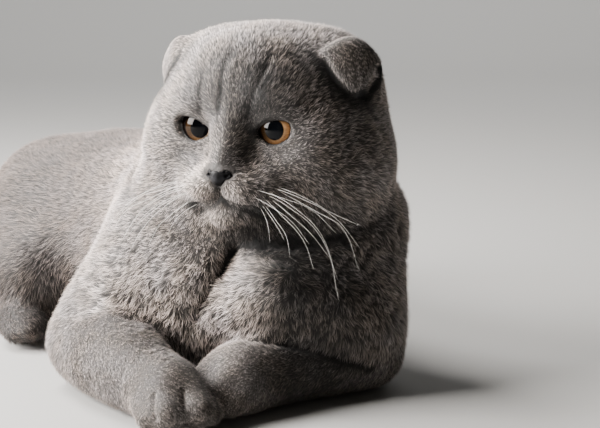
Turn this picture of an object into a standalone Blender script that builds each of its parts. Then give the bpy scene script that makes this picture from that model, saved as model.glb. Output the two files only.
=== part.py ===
# A grey Scottish fold cat, life size, lying on its breast with its forelegs crossed in front
# and its head turned to its right.
# Metres, +Z up. The nose end is towards -Y and the cat's left side towards +X. The origin is
# on the floor under the middle of the belly, where the trunk rests.

import math

import bmesh
import bpy
import numpy as np
from mathutils import Matrix, Vector

# Clearance that two touching pieces keep.
GAP = 0.0003
MILLIMETRE = 0.001

# The head's centre, how far it is turned to the cat's right, and how far the nose dips.
HEAD_CENTRE = Vector((0.005, -0.095, 0.142))
HEAD_TURN = -52.0
HEAD_NOD = 3.0

# The neck's root and the breast face a little to the cat's right of the trunk's own line.
NECK_ROOT = Vector((0.000, -0.084, 0.098))
BREAST_TURN = -26.0

# Eyes and lids, in the head's own frame: x to the cat's left, y back, z up.
EYE_RADIUS = 0.0112
EYE_PLACE = Vector((0.0228, -0.0385, 0.0065))
EYE_SPLAY = 13.0
LID_RADIUS = 0.0128
LID_TILT = 12.0
LID_INNER_REACH = 0.0122
LID_OUTER_REACH = 0.0103
LID_UPPER_HEIGHT = 0.0070
LID_LOWER_HEIGHT = 0.0080

# The lids are sharper at their inner corner. They are opened between these two depths.
LID_OUTER_SHARPNESS = 1.0
LID_INNER_SHARPNESS = 1.35
LID_STEPS = 16
LID_DEPTHS = (-0.020, -0.004)

# How softly the head runs into the neck, and each paw into its forearm.
HEAD_BLEND = 0.004
WRIST_BLEND = 0.012

LIP_LINE_RADIUS = 0.0011
EAR_THICKNESS = 0.0026
EAR_SMOOTHINGS = 4

# Voxel sizes of the blended forms, and how their points are drawn onto the blend.
BODY_VOXEL = 0.0022
LIMB_VOXEL = 0.0016
EAR_VOXEL = 0.0008
NOSE_VOXEL = 0.0005
LIP_LINE_VOXEL = LIP_LINE_RADIUS / 3
PULL_ROUNDS = 2
PULL_STEPS = 4
LIP_LINE_PULL_STEPS = 12
LONGEST_PULL = 0.004
LEAST_SLOPE = 0.2
NUDGE = 1e-5
WELD = 1e-6
BALL_SEGMENTS = 20

# Triangles that the faceted solids keep.
FINE_BODY_TRIANGLES = 8400
PLAIN_BODY_TRIANGLES = 2200
FORELEG_TRIANGLES = 1050
HIND_FOOT_TRIANGLES = 300
TAIL_TRIANGLES = 420
EAR_TRIANGLES = 440
NOSE_TRIANGLES = 260
LIP_LINE_TRIANGLES = 500

COAT_GREY = (0.235, 0.222, 0.215, 1.0)
LEATHER_GREY = (0.055, 0.055, 0.062, 1.0)
AMBER = (0.42, 0.19, 0.05, 1.0)
COAT_ROUGHNESS = 0.9
LEATHER_ROUGHNESS = 0.5
EYE_ROUGHNESS = 0.1


class Ball:
    # An ellipsoid, and how softly it runs into the forms before it. One that hollows is
    # taken out of them instead.
    def __init__(self, centre, radii, blend, turn=0.0, tip=0.0, hollows=False):
        self.centre, self.radii, self.blend, self.hollows = Vector(centre), Vector(radii), blend, hollows
        self.axes = Matrix.Rotation(math.radians(turn), 4, "Z") @ Matrix.Rotation(math.radians(tip), 4, "X")

    def placed(self, frame):
        self.place = frame @ Matrix.Translation(self.centre) @ self.axes
        return self

    def off_midline(self):
        return self.centre.x != 0

    def mirrored(self):
        other = Ball(self.centre * Vector((-1.0, 1.0, 1.0)), self.radii, self.blend, hollows=self.hollows)
        flip = Matrix.Diagonal((-1.0, 1.0, 1.0, 1.0))
        other.axes = flip @ self.axes @ flip
        return other

    def mesh(self, name):
        shape = bmesh.new()
        bmesh.ops.create_uvsphere(
            shape, u_segments=BALL_SEGMENTS, v_segments=BALL_SEGMENTS // 2, radius=1.0
        )
        matrix = self.place @ Matrix.Diagonal((*self.radii, 1.0))
        bmesh.ops.transform(shape, matrix=matrix, verts=shape.verts)
        return mesh_object(name, shape)

    def distance(self, points):
        turned = np.array(self.place.to_3x3())
        local = (points - np.array(self.place.translation)) @ turned
        radii = np.array(self.radii)
        reach = np.linalg.norm(local / radii, axis=1)
        return reach * (reach - 1) / np.maximum(np.linalg.norm(local / radii**2, axis=1), 1e-9)


class Limb:
    # A tapered round bar through stations of centre and radius.
    def __init__(self, stations, blend, hollows=False):
        self.stations, self.blend, self.hollows = stations, blend, hollows

    def placed(self, frame):
        self.points = [(frame @ Vector(s[:3]), s[3]) for s in self.stations]
        return self

    def off_midline(self):
        return any(station[0] for station in self.stations)

    def mirrored(self):
        return Limb([(-x, y, z, radius) for x, y, z, radius in self.stations], self.blend, self.hollows)

    def mesh(self, name):
        return tube(name, self.points)

    def distance(self, points):
        nearest = np.full(len(points), 1.0)
        for (start, first), (end, last) in zip(self.points, self.points[1:]):
            along = np.array(end - start)
            share = np.clip((points - np.array(start)) @ along / (along @ along), 0, 1)
            away = np.linalg.norm(points - np.array(start) - share[:, None] * along, axis=1)
            nearest = np.minimum(nearest, away - first - share * (last - first))
        return nearest


# The trunk with the upper arms and thighs, in the order that they are blended.
TRUNK = {
    "ribs": Ball((-0.001, 0.008, 0.062), (0.067, 0.086, 0.065), 0, turn=-6),
    "belly": Ball((-0.004, 0.078, 0.063), (0.072, 0.082, 0.060), 0.03),
    "rump": Ball((-0.003, 0.134, 0.060), (0.072, 0.067, 0.056), 0.03),
    "breast": Ball((-0.002, -0.066, 0.062), (0.067, 0.060, 0.058), 0.03, turn=BREAST_TURN),
    "chest": Ball((-0.030, -0.104, 0.046), (0.050, 0.038, 0.046), 0.02, turn=BREAST_TURN),
    "withers": Ball((0.005, -0.020, 0.084), (0.049, 0.060, 0.043), 0.03, turn=-15),
    "neck": Limb(((0.006, -0.045, 0.096, 0.048), (0.012, -0.080, 0.118, 0.052)), 0.03),
    "ruff": Ball((0.009, -0.088, 0.093), (0.0735, 0.048, 0.039), 0.02, turn=BREAST_TURN),
    "upper_arm_right": Limb(
        (
            (-0.034, -0.062, 0.084, 0.032),
            (-0.062, -0.068, 0.056, 0.034),
            (-0.078, -0.068, 0.034, 0.033),
        ),
        0.03,
    ),
    "elbow_right": Limb(((-0.083, -0.072, 0.030, 0.029), (-0.098, -0.070, 0.022, 0.021)), 0.02),
    "upper_arm_left": Limb(
        (
            (0.036, -0.112, 0.084, 0.034),
            (0.036, -0.126, 0.056, 0.034),
            (0.036, -0.130, 0.034, 0.032),
        ),
        0.03,
    ),
    "elbow_left": Limb(((0.034, -0.130, 0.028, 0.026), (0.042, -0.126, 0.020, 0.019)), 0.02),
    "breast_roll": Limb(
        (
            (-0.014, -0.140, 0.056, 0.027),
            (0.012, -0.144, 0.047, 0.030),
            (0.027, -0.145, 0.040, 0.028),
        ),
        0.014,
    ),
    "thigh_right": Limb(
        (
            (-0.036, 0.160, 0.068, 0.045),
            (-0.058, 0.118, 0.058, 0.044),
            (-0.078, 0.070, 0.040, 0.034),
        ),
        0.02,
    ),
    "thigh_left": Limb(
        (
            (0.028, 0.160, 0.068, 0.045),
            (0.050, 0.118, 0.058, 0.044),
            (0.070, 0.070, 0.040, 0.034),
        ),
        0.02,
    ),
    "chest_fold": Limb(
        (
            (-0.0360, -0.1330, 0.0840, 0.0030),
            (-0.0435, -0.1350, 0.0730, 0.0055),
            (-0.0505, -0.1360, 0.0620, 0.0050),
            (-0.0590, -0.1330, 0.0460, 0.0030),
        ),
        0.010,
        hollows=True,
    ),
}

# The head in its own frame, x to the cat's left, y back and z up. A form that is off the
# midline is made on both sides.
HEAD = {
    "cranium": Ball((0.000, 0.006, 0.009), (0.063, 0.054, 0.051), 0),
    "temple": Ball((0.0315, 0.005, 0.024), (0.0295, 0.035, 0.032), 0.010),
    "cheekbone": Ball((0.038, -0.019, -0.002), (0.026, 0.028, 0.030), 0.016),
    "forehead": Ball((0.000, -0.024, 0.022), (0.040, 0.028, 0.032), 0.016),
    "cheek": Ball((0.0355, -0.003, -0.018), (0.038, 0.043, 0.034), 0.016),
    "face": Ball((0.000, -0.030, -0.008), (0.040, 0.022, 0.030), 0.014),
    "jaw": Ball((0.000, -0.026, -0.038), (0.032, 0.030, 0.016), 0.012),
    "socket": Ball((0.0215, -0.0535, 0.0045), (0.0150, 0.0085, 0.0115), 0.008, hollows=True),
    "brow": Ball((0.021, -0.0405, 0.0225), (0.017, 0.0105, 0.0075), 0.010),
    "bridge": Limb(
        ((0.0, -0.038, 0.018, 0.0125), (0.0, -0.050, 0.002, 0.0100), (0.0, -0.0580, -0.0095, 0.0085)),
        0.010,
    ),
    "muzzle": Ball((0.000, -0.047, -0.0240), (0.029, 0.018, 0.0140), 0.010),
    "pad": Ball((0.0112, -0.0560, -0.0235), (0.0124, 0.0125, 0.0098), 0.004),
    "pad_side": Ball((0.0205, -0.0485, -0.0255), (0.0120, 0.0125, 0.0095), 0.006),
    "chin": Ball((0.000, -0.0520, -0.0400), (0.0125, 0.0115, 0.0082), 0.004),
    "lids": Ball(EYE_PLACE, (LID_RADIUS, LID_RADIUS, LID_RADIUS), 0.005),
}

# Points of the line between the lips, which are drawn onto the face.
LIP_LINE = (
    (0.000, -0.0660, -0.0220),
    (0.000, -0.0650, -0.0275),
    (0.005, -0.0645, -0.0297),
    (0.012, -0.0615, -0.0315),
    (0.019, -0.0570, -0.0325),
    (0.0255, -0.0500, -0.0325),
)

NOSE = {
    "top": Ball((0.000, -0.0645, -0.0136), (0.0072, 0.0046, 0.0028), 0),
    "wing": Ball((0.0052, -0.0638, -0.0144), (0.0034, 0.0042, 0.0029), 0.002),
    "wedge": Ball((0.000, -0.0650, -0.0170), (0.0040, 0.0043, 0.0045), 0.003),
    "nostril": Limb(
        (
            (0.0030, -0.0695, -0.0156, 0.0012),
            (0.0056, -0.0678, -0.0146, 0.0015),
            (0.0082, -0.0642, -0.0152, 0.0010),
        ),
        0.001,
        hollows=True,
    ),
}

# The pinna of the left ear in the head's frame, in millimetres: rows from its root up over
# the fold and down to its tip, each from the edge by the forehead to the edge by the cheek.
EAR_SHEET = (
    ((34, -14, 38), (40, -2, 38), (46, 6, 33), (51, 9, 22), (53, 7, 10)),
    ((37, -18, 42), (43, -3, 46), (50, 5, 41), (56, 9, 28), (59, 8, 14)),
    ((39, -21, 45), (46, -5, 52), (54, 2, 49), (61, 7, 36), (64, 8, 22)),
    ((41, -23, 46), (48, -8, 54), (57, -2, 52), (64, 4, 41), (67, 5, 31)),
    ((43, -25, 44), (51, -13, 52), (59, -7, 50), (64, -3, 44), (66, -1, 40)),
    ((49, -26, 38), (55, -18, 44), (61, -12, 43), (65, -8, 39), (67, -6, 36)),
    ((55, -26, 31), (58, -21, 35), (62, -17, 35), (65, -13, 33), (66, -12, 31)),
    ((59, -24, 25), (60, -22, 26), (62, -21, 26), (63, -20, 26), (63, -19, 25)),
)
# The right ear is folded closer to the head: how far each of its rows lies inwards, back and up.
RIGHT_EAR_SHIFT = (
    (0.0, 0.0, 0.0),
    (0.0, 0.0, 0.0),
    (1.0, 1.0, -2.0),
    (1.5, 1.0, -2.0),
    (2.0, 1.0, -1.0),
    (3.5, 1.5, 0.0),
    (4.0, 2.0, 2.0),
    (5.0, 3.0, 5.0),
)

# Forelegs along the floor. Each paw is set by where its palm is and the way its toes point.
FOREARM_RIGHT = Limb(
    (
        (-0.092, -0.066, 0.0245, 0.0270),
        (-0.093, -0.100, 0.0240, 0.0265),
        (-0.092, -0.132, 0.0210, 0.0225),
        (-0.088, -0.158, 0.0165, 0.0175),
    ),
    0,
)
FOREARM_LEFT = Limb(
    (
        (0.040, -0.143, 0.0205, 0.0215),
        (0.014, -0.148, 0.0195, 0.0205),
        (-0.014, -0.151, 0.0190, 0.0200),
        (-0.042, -0.153, 0.0180, 0.0190),
    ),
    0,
)
PAW_RIGHT_PALM, PAW_RIGHT_TURN = Vector((-0.0870, -0.169, 0.0)), -8.0
PAW_LEFT_PALM, PAW_LEFT_TURN = Vector((-0.050, -0.158, 0.0)), -80.0

# A paw in its own frame, toes towards -y. Its toes are made on both sides.
PAW = {
    "wrist": Ball((0.000, 0.008, 0.0160), (0.0165, 0.020, 0.0165), 0),
    "palm": Ball((0.000, -0.003, 0.0130), (0.0175, 0.014, 0.0130), 0.008),
    "inner_toe": Limb(((0.0070, -0.004, 0.0195, 0.0088), (0.0076, -0.0175, 0.0120, 0.0098)), 0.0006),
    "outer_toe": Limb(((0.0150, -0.001, 0.0150, 0.0070), (0.0162, -0.0125, 0.0090, 0.0072)), 0.0006),
}

HIND_FOOT = {
    "hock": Limb(
        (
            (0.074, 0.146, 0.022, 0.018),
            (0.088, 0.100, 0.017, 0.0145),
            (0.095, 0.056, 0.015, 0.0140),
        ),
        0,
    ),
    "pads": Ball((0.097, 0.042, 0.0130), (0.0165, 0.018, 0.0130), 0.012),
    "inner_toe": Limb(((0.0930, 0.040, 0.0150, 0.0070), (0.0935, 0.028, 0.0105, 0.0072)), 0.003),
    "middle_toe": Limb(((0.1000, 0.040, 0.0150, 0.0070), (0.1010, 0.027, 0.0105, 0.0072)), 0.003),
    "outer_toe": Limb(((0.1060, 0.042, 0.0130, 0.0065), (0.1075, 0.033, 0.0095, 0.0068)), 0.003),
}
HIND_FOOT_LEFT_SHIFT = Vector((-0.008, 0.0, 0.0))

TAIL = Limb(
    (
        (-0.002, 0.178, 0.060, 0.024),
        (0.000, 0.204, 0.046, 0.0215),
        (0.012, 0.226, 0.029, 0.0195),
        (0.036, 0.238, 0.0185, 0.0185),
        (0.066, 0.236, 0.0175, 0.0180),
        (0.094, 0.220, 0.0170, 0.0175),
        (0.113, 0.192, 0.0165, 0.0170),
        (0.122, 0.156, 0.0160, 0.0165),
        (0.123, 0.120, 0.0155, 0.0160),
        (0.118, 0.086, 0.0145, 0.0150),
    ),
    0,
)

# Where the pieces part. The outlines are in y and z and reach past the body on every side.
ALL_ROUND = 1.0
HEAD_HALF_WIDTH = 0.1
HEAD_OUTLINE = (
    (-0.110, -0.058),
    (-0.028, -0.058),
    (0.002, -0.050),
    (0.052, -0.006),
    (0.075, 0.060),
    (0.075, 0.110),
    (-0.110, 0.110),
)
NECK_HALF_WIDTH = 0.15
NECK_OUTLINE = ((-0.15, -0.0989), (0.13, 0.0436), (0.13, 0.2), (-0.15, 0.2))
PAW_HALF_WIDTH = 0.1
PAW_OUTLINE = ((-0.1, -0.1), (0.012, -0.1), (0.012, 0.1), (-0.1, 0.1))
BELOW_FLOOR = ((-1, -1), (1, -1), (1, 0), (-1, 0))
BEHIND = ((0.0, -1), (1, -1), (1, 1), (0.0, 1))
TAIL_BASE_END = 0.036
AHEAD_OF_TAIL_BEND = ((-1, -1), (0.165, -1), (0.165, 1), (-1, 1))
TAIL_TIP_INSIDE = 0.04
LIMB_ROOTS = {
    "upper_arm_right": ((-0.096, -0.064, 0.042), (0.052, 0.056, 0.064)),
    "upper_arm_left": ((0.082, -0.130, 0.042), (0.052, 0.056, 0.060)),
    "thigh_right": ((-0.094, 0.120, 0.048), (0.052, 0.084, 0.070)),
    "thigh_left": ((0.086, 0.120, 0.048), (0.052, 0.084, 0.070)),
}


def clear_scene():
    for thing in list(bpy.data.objects):
        bpy.data.objects.remove(thing)


def collection(name):
    made = bpy.data.collections.new(name)
    bpy.context.scene.collection.children.link(made)
    return made


def coat(name, colour, roughness):
    made = bpy.data.materials.new(name)
    made.use_nodes = True
    shader = made.node_tree.nodes["Principled BSDF"]
    shader.inputs["Base Color"].default_value = colour
    shader.inputs["Roughness"].default_value = roughness
    made.diffuse_color = colour
    return made


def mesh_object(name, shape):
    mesh = bpy.data.meshes.new(name)
    shape.to_mesh(mesh)
    shape.free()
    made = bpy.data.objects.new(name, mesh)
    made.display_type = "WIRE"
    workshop.objects.link(made)
    return made


def settle(thing):
    # Replaces an object's mesh by what its modifiers make of it.
    bpy.context.view_layer.update()
    graph = bpy.context.evaluated_depsgraph_get()
    mesh = bpy.data.meshes.new_from_object(thing.evaluated_get(graph))
    thing.modifiers.clear()
    thing.data = mesh
    return thing


def tube(name, stations):
    # A curve with a radius at each station, made a mesh, with a ball at each of them.
    line = bpy.data.curves.new(name, "CURVE")
    line.dimensions = "3D"
    line.bevel_depth = 1.0
    line.bevel_resolution = 6
    line.use_fill_caps = True
    spline = line.splines.new("POLY")
    spline.points.add(len(stations) - 1)
    for point, (centre, radius) in zip(spline.points, stations):
        point.co = (*centre, 1.0)
        point.radius = radius
    guide = bpy.data.objects.new(name, line)
    workshop.objects.link(guide)
    bpy.context.view_layer.update()
    graph = bpy.context.evaluated_depsgraph_get()
    mesh = bpy.data.meshes.new_from_object(guide.evaluated_get(graph))
    bpy.data.objects.remove(guide)
    made = bpy.data.objects.new(name, mesh)
    workshop.objects.link(made)
    weld(made)
    balls = [Ball(c, (r, r, r), 0).placed(Matrix()).mesh(name) for c, r in stations]
    return join(name, [made, *balls])


def weld(thing):
    shape = bmesh.new()
    shape.from_mesh(thing.data)
    bmesh.ops.remove_doubles(shape, verts=shape.verts, dist=WELD)
    shape.to_mesh(thing.data)
    shape.free()


def join(name, things):
    # One object that holds all the meshes; the bodies stay separate until they are fused.
    shape = bmesh.new()
    for thing in things:
        shape.from_mesh(thing.data)
        bpy.data.objects.remove(thing)
    return mesh_object(name, shape)


def soft_least(near, far, blend):
    # The smaller of two distances, rounded off where they are within the blend of each other.
    if blend <= 0:
        return np.minimum(near, far)
    share = np.maximum(blend - np.abs(near - far), 0) / blend
    return np.minimum(near, far) - share**2 * blend / 4


def field(groups, points):
    # How far each point stands off the blended forms. A group is blended by itself, then
    # joined to the groups before it by its own softness.
    total = None
    for forms, softness in groups:
        depth = forms[0].distance(points)
        for form in forms[1:]:
            if form.hollows:
                depth = -soft_least(-depth, form.distance(points), form.blend)
            else:
                depth = soft_least(depth, form.distance(points), form.blend)
        total = depth if total is None else soft_least(total, depth, softness)
    return total


def drawn_onto(groups, points, steps=PULL_STEPS):
    for _ in range(steps):
        depth = field(groups, points)
        slope = np.stack(
            [(field(groups, points + nudge) - depth) / NUDGE for nudge in np.eye(3) * NUDGE], axis=1
        )
        steep = np.maximum((slope**2).sum(axis=1), LEAST_SLOPE)
        points = points - slope * np.clip(depth / steep, -LONGEST_PULL, LONGEST_PULL)[:, None]
    return points


def fuse(name, groups, voxel, triangles):
    # Joins the forms' meshes, remeshes them as one body and draws its points onto the soft
    # blend of the forms, so that one muscle runs into the next.
    solid = [form for forms, _ in groups for form in forms if not form.hollows]
    body = join(name, [form.mesh(name) for form in solid])
    for _ in range(PULL_ROUNDS):
        remesh = body.modifiers.new("fuse", "REMESH")
        remesh.mode = "VOXEL"
        remesh.voxel_size = voxel
        settle(body)
        points = np.empty(len(body.data.vertices) * 3)
        body.data.vertices.foreach_get("co", points)
        points = drawn_onto(groups, points.reshape(-1, 3))
        body.data.vertices.foreach_set("co", points.ravel())
        body.data.update()
    return reduce(body, triangles)


def reduce(thing, triangles):
    count = sum(len(face.vertices) - 2 for face in thing.data.polygons)
    if count > triangles:
        fewer = thing.modifiers.new("reduce", "DECIMATE")
        fewer.ratio = triangles / count
        settle(thing)
    return thing


def copy_of(thing, name):
    made = bpy.data.objects.new(name, thing.data.copy())
    workshop.objects.link(made)
    return made


def swollen(thing, by=GAP):
    # A copy whose surface stands off by the gap, which clears a neighbour.
    made = copy_of(thing, thing.name + "_room")
    shape = bmesh.new()
    shape.from_mesh(made.data)
    shape.normal_update()
    for vert in shape.verts:
        vert.co += vert.normal * by
    shape.to_mesh(made.data)
    shape.free()
    return made


def combine(thing, other, operation):
    tool = thing.modifiers.new("combine", "BOOLEAN")
    tool.operation = operation
    tool.object = other
    tool.solver = "MANIFOLD"
    settle(thing)
    return keep_largest(thing)


def clear_room(thing, *neighbours):
    # Takes each neighbour's volume, and the gap round it, out of a solid.
    for neighbour in neighbours:
        room = swollen(neighbour)
        combine(thing, room, "DIFFERENCE")
        remove(room)
    return thing


def keep_largest(thing):
    shape = bmesh.new()
    shape.from_mesh(thing.data)
    bmesh.ops.triangulate(shape, faces=shape.faces)
    left = set(shape.faces)
    bodies = []
    while left:
        body, edge = set(), [left.pop()]
        while edge:
            face = edge.pop()
            body.add(face)
            for near in {f for e in face.edges for f in e.link_faces} & left:
                left.discard(near)
                edge.append(near)
        bodies.append(body)
    bodies.sort(key=volume_of, reverse=True)
    spare = [face for body in bodies[1:] for face in body]
    bmesh.ops.delete(shape, geom=spare, context="FACES")
    shape.to_mesh(thing.data)
    shape.free()
    return thing


def volume_of(faces):
    total = 0.0
    for face in faces:
        a, b, c = (loop.vert.co for loop in face.loops)
        total += a.dot(b.cross(c)) / 6
    return total


def remove(*things):
    for thing in things:
        bpy.data.objects.remove(thing)


def carve(body, region, name):
    # Takes the part of the body inside a region for its own piece, and leaves the rest of it.
    piece = copy_of(body, name)
    combine(piece, region, "INTERSECT")
    clear_room(body, region)
    remove(region)
    return piece


def prism(name, outline, first, last, matrix):
    # A solid with this outline in y and z, from the first x to the last.
    shape = bmesh.new()
    ends = [[shape.verts.new(matrix @ Vector((x, y, z))) for y, z in outline] for x in (first, last)]
    shape.faces.new(ends[0])
    shape.faces.new(ends[1])
    for k in range(len(outline)):
        after = (k + 1) % len(outline)
        shape.faces.new((ends[0][k], ends[1][k], ends[1][after], ends[0][after]))
    bmesh.ops.recalc_face_normals(shape, faces=shape.faces)
    return mesh_object(name, shape)


def lump(name, centre, radii):
    return Ball(centre, radii, 0).placed(Matrix()).mesh(name + "_region")


def turned(degrees, axis):
    return Matrix.Rotation(math.radians(degrees), 4, axis)


def head_frame():
    return Matrix.Translation(HEAD_CENTRE) @ turned(HEAD_TURN, "Z") @ turned(HEAD_NOD, "X")


def both_sides(forms, frame):
    made = []
    for form in forms.values():
        if form.off_midline():
            made.append(form.mirrored().placed(frame))
        made.append(form.placed(frame))
    return made


def body_groups():
    trunk = [form.placed(Matrix()) for form in TRUNK.values()]
    return [(trunk, 0), (both_sides(HEAD, head_frame()), HEAD_BLEND)]


def floor_trimmed(thing):
    below = prism("floor", BELOW_FLOOR, -ALL_ROUND, ALL_ROUND, Matrix())
    combine(thing, below, "DIFFERENCE")
    remove(below)
    return thing


def foreleg(side, forearm, palm, turn):
    paw = both_sides(PAW, Matrix.Translation(palm) @ turned(turn, "Z"))
    groups = [([forearm.placed(Matrix())], 0), (paw, WRIST_BLEND)]
    return floor_trimmed(fuse("forearm_" + side, groups, LIMB_VOXEL, FORELEG_TRIANGLES))


def cut_paw(side, leg, palm, turn):
    wrist = Matrix.Translation(palm) @ turned(turn, "Z")
    ahead = prism("ahead", PAW_OUTLINE, -PAW_HALF_WIDTH, PAW_HALF_WIDTH, wrist)
    return carve(leg, ahead, "forepaw_" + side)


def hind_foot(side):
    if side == "right":
        forms = [form.mirrored().placed(Matrix()) for form in HIND_FOOT.values()]
    else:
        forms = [form.placed(Matrix.Translation(HIND_FOOT_LEFT_SHIFT)) for form in HIND_FOOT.values()]
    return floor_trimmed(fuse("hind_foot_" + side, [(forms, 0)], LIMB_VOXEL, HIND_FOOT_TRIANGLES))


def eye_frame(side):
    place = EYE_PLACE * Vector((side, 1.0, 1.0))
    return (
        head_frame()
        @ Matrix.Translation(place)
        @ turned(EYE_SPLAY * side, "Z")
        @ turned(-LID_TILT * side, "Y")
    )


def eyeball(side, name):
    radii = (EYE_RADIUS, EYE_RADIUS, EYE_RADIUS)
    return Ball((0, 0, 0), radii, 0).placed(eye_frame(side)).mesh(name)


def lid_opening(side):
    # An almond through the lids, its sharp end towards the nose.
    shape = bmesh.new()
    rings = []
    for y in LID_DEPTHS:
        ring = []
        for k in range(2 * LID_STEPS):
            angle = math.pi * k / LID_STEPS
            outer = math.cos(angle) > 0
            reach = LID_OUTER_REACH if outer else LID_INNER_REACH
            height = LID_UPPER_HEIGHT if math.sin(angle) > 0 else LID_LOWER_HEIGHT
            narrow = abs(math.sin(angle)) ** (LID_OUTER_SHARPNESS if outer else LID_INNER_SHARPNESS)
            z = math.copysign(narrow, math.sin(angle)) * height
            ring.append(shape.verts.new(eye_frame(side) @ Vector((side * reach * math.cos(angle), y, z))))
        rings.append(ring)
    shape.faces.new(rings[0])
    shape.faces.new(rings[1])
    for k in range(2 * LID_STEPS):
        after = (k + 1) % (2 * LID_STEPS)
        shape.faces.new((rings[0][k], rings[1][k], rings[1][after], rings[0][after]))
    bmesh.ops.recalc_face_normals(shape, faces=shape.faces)
    return mesh_object("lid_opening", shape)


def lip_groove(side):
    line = np.array([head_frame() @ Vector((x * side, y, z)) for x, y, z in LIP_LINE])
    line = drawn_onto(body_groups(), line, LIP_LINE_PULL_STEPS)
    groove = tube("lip_groove", [(Vector(point), LIP_LINE_RADIUS) for point in line])
    remesh = groove.modifiers.new("fuse", "REMESH")
    remesh.mode = "VOXEL"
    remesh.voxel_size = LIP_LINE_VOXEL
    settle(groove)
    return reduce(groove, LIP_LINE_TRIANGLES)


def pinna(side, name):
    shape = bmesh.new()
    rows = []
    for row, (inwards, back, up) in zip(EAR_SHEET, RIGHT_EAR_SHIFT):
        shift = Vector((-inwards, back, up)) if side < 0 else Vector()
        places = [(Vector(point) + shift) * Vector((side, 1.0, 1.0)) * MILLIMETRE for point in row]
        rows.append([shape.verts.new(head_frame() @ place) for place in places])
    for low, high in zip(rows, rows[1:]):
        for k in range(len(low) - 1):
            shape.faces.new((low[k], low[k + 1], high[k + 1], high[k]))
    ear = mesh_object(name, shape)
    rounder = ear.modifiers.new("rounder", "SUBSURF")
    rounder.levels = rounder.render_levels = 2
    wall = ear.modifiers.new("wall", "SOLIDIFY")
    wall.thickness = EAR_THICKNESS
    wall.offset = 0.0
    wall.use_even_offset = True
    settle(ear)
    remesh = ear.modifiers.new("fuse", "REMESH")
    remesh.mode = "VOXEL"
    remesh.voxel_size = EAR_VOXEL
    smooth = ear.modifiers.new("smooth", "SMOOTH")
    smooth.iterations = EAR_SMOOTHINGS
    settle(ear)
    return reduce(ear, EAR_TRIANGLES)


def finish(thing, material):
    workshop.objects.unlink(thing)
    cat.objects.link(thing)
    thing.display_type = "TEXTURED"
    thing.data.materials.clear()
    thing.data.materials.append(material)
    for face in thing.data.polygons:
        face.material_index = 0
        face.use_smooth = True


def build_head(groups):
    region = prism("head_region", HEAD_OUTLINE, -HEAD_HALF_WIDTH, HEAD_HALF_WIDTH, head_frame())
    fine = fuse("head", groups, BODY_VOXEL, FINE_BODY_TRIANGLES)
    plain = reduce(copy_of(fine, "torso"), PLAIN_BODY_TRIANGLES)
    clear_room(plain, region)
    combine(fine, region, "INTERSECT")
    remove(region)
    return fine, plain


def main():
    groups = body_groups()
    head, torso = build_head(groups)
    nose = fuse("nose", [(both_sides(NOSE, head_frame()), 0)], NOSE_VOXEL, NOSE_TRIANGLES)
    sides = {"right": -1.0, "left": 1.0}
    for sign in sides.values():
        for cutter in (lid_opening(sign), lip_groove(sign)):
            combine(head, cutter, "DIFFERENCE")
            remove(cutter)
    clear_room(head, nose)
    eyes = [eyeball(sign, "eye_" + side) for side, sign in sides.items()]
    clear_room(head, *eyes)
    ears = [clear_room(pinna(sign, "ear_" + side), head) for side, sign in sides.items()]

    leg_right = foreleg("right", FOREARM_RIGHT, PAW_RIGHT_PALM, PAW_RIGHT_TURN)
    leg_left = foreleg("left", FOREARM_LEFT, PAW_LEFT_PALM, PAW_LEFT_TURN)
    clear_room(leg_left, leg_right)
    feet = [hind_foot("right"), hind_foot("left")]
    tail = floor_trimmed(fuse("tail_base", [([TAIL.placed(Matrix())], 0)], LIMB_VOXEL, TAIL_TRIANGLES))
    clear_room(tail, *feet)
    floor_trimmed(torso)
    clear_room(torso, leg_right, leg_left, *feet, tail)
    paws = [
        cut_paw("right", leg_right, PAW_RIGHT_PALM, PAW_RIGHT_TURN),
        cut_paw("left", leg_left, PAW_LEFT_PALM, PAW_LEFT_TURN),
    ]

    neck_frame = Matrix.Translation(NECK_ROOT) @ turned(BREAST_TURN, "Z")
    above = prism("neck_region", NECK_OUTLINE, -NECK_HALF_WIDTH, NECK_HALF_WIDTH, neck_frame)
    neck = carve(torso, above, "neck")
    limbs = [carve(torso, lump(name, *root), name) for name, root in LIMB_ROOTS.items()]
    tail_rest = carve(tail, prism("beyond_base", BEHIND, TAIL_BASE_END, ALL_ROUND, Matrix()), "tail_middle")
    last = prism("last", AHEAD_OF_TAIL_BEND, TAIL_TIP_INSIDE, ALL_ROUND, Matrix())
    tail_tip = carve(tail_rest, last, "tail_tip")

    fur = coat("grey_coat", COAT_GREY, COAT_ROUGHNESS)
    leather = coat("nose_leather", LEATHER_GREY, LEATHER_ROUGHNESS)
    iris = coat("amber_eye", AMBER, EYE_ROUGHNESS)
    furred = [head, neck, torso, *ears, *limbs, leg_right, leg_left, *paws, *feet, tail, tail_rest, tail_tip]
    for thing in furred:
        finish(thing, fur)
    finish(nose, leather)
    for eye in eyes:
        finish(eye, iris)


clear_scene()
workshop = collection("workshop")
workshop.hide_render = True
cat = collection("scottish_fold_cat")
main()
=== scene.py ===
import math

import bpy
import numpy as np
from mathutils import Matrix, Vector
from mathutils.bvhtree import BVHTree
from mathutils.kdtree import KDTree


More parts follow.
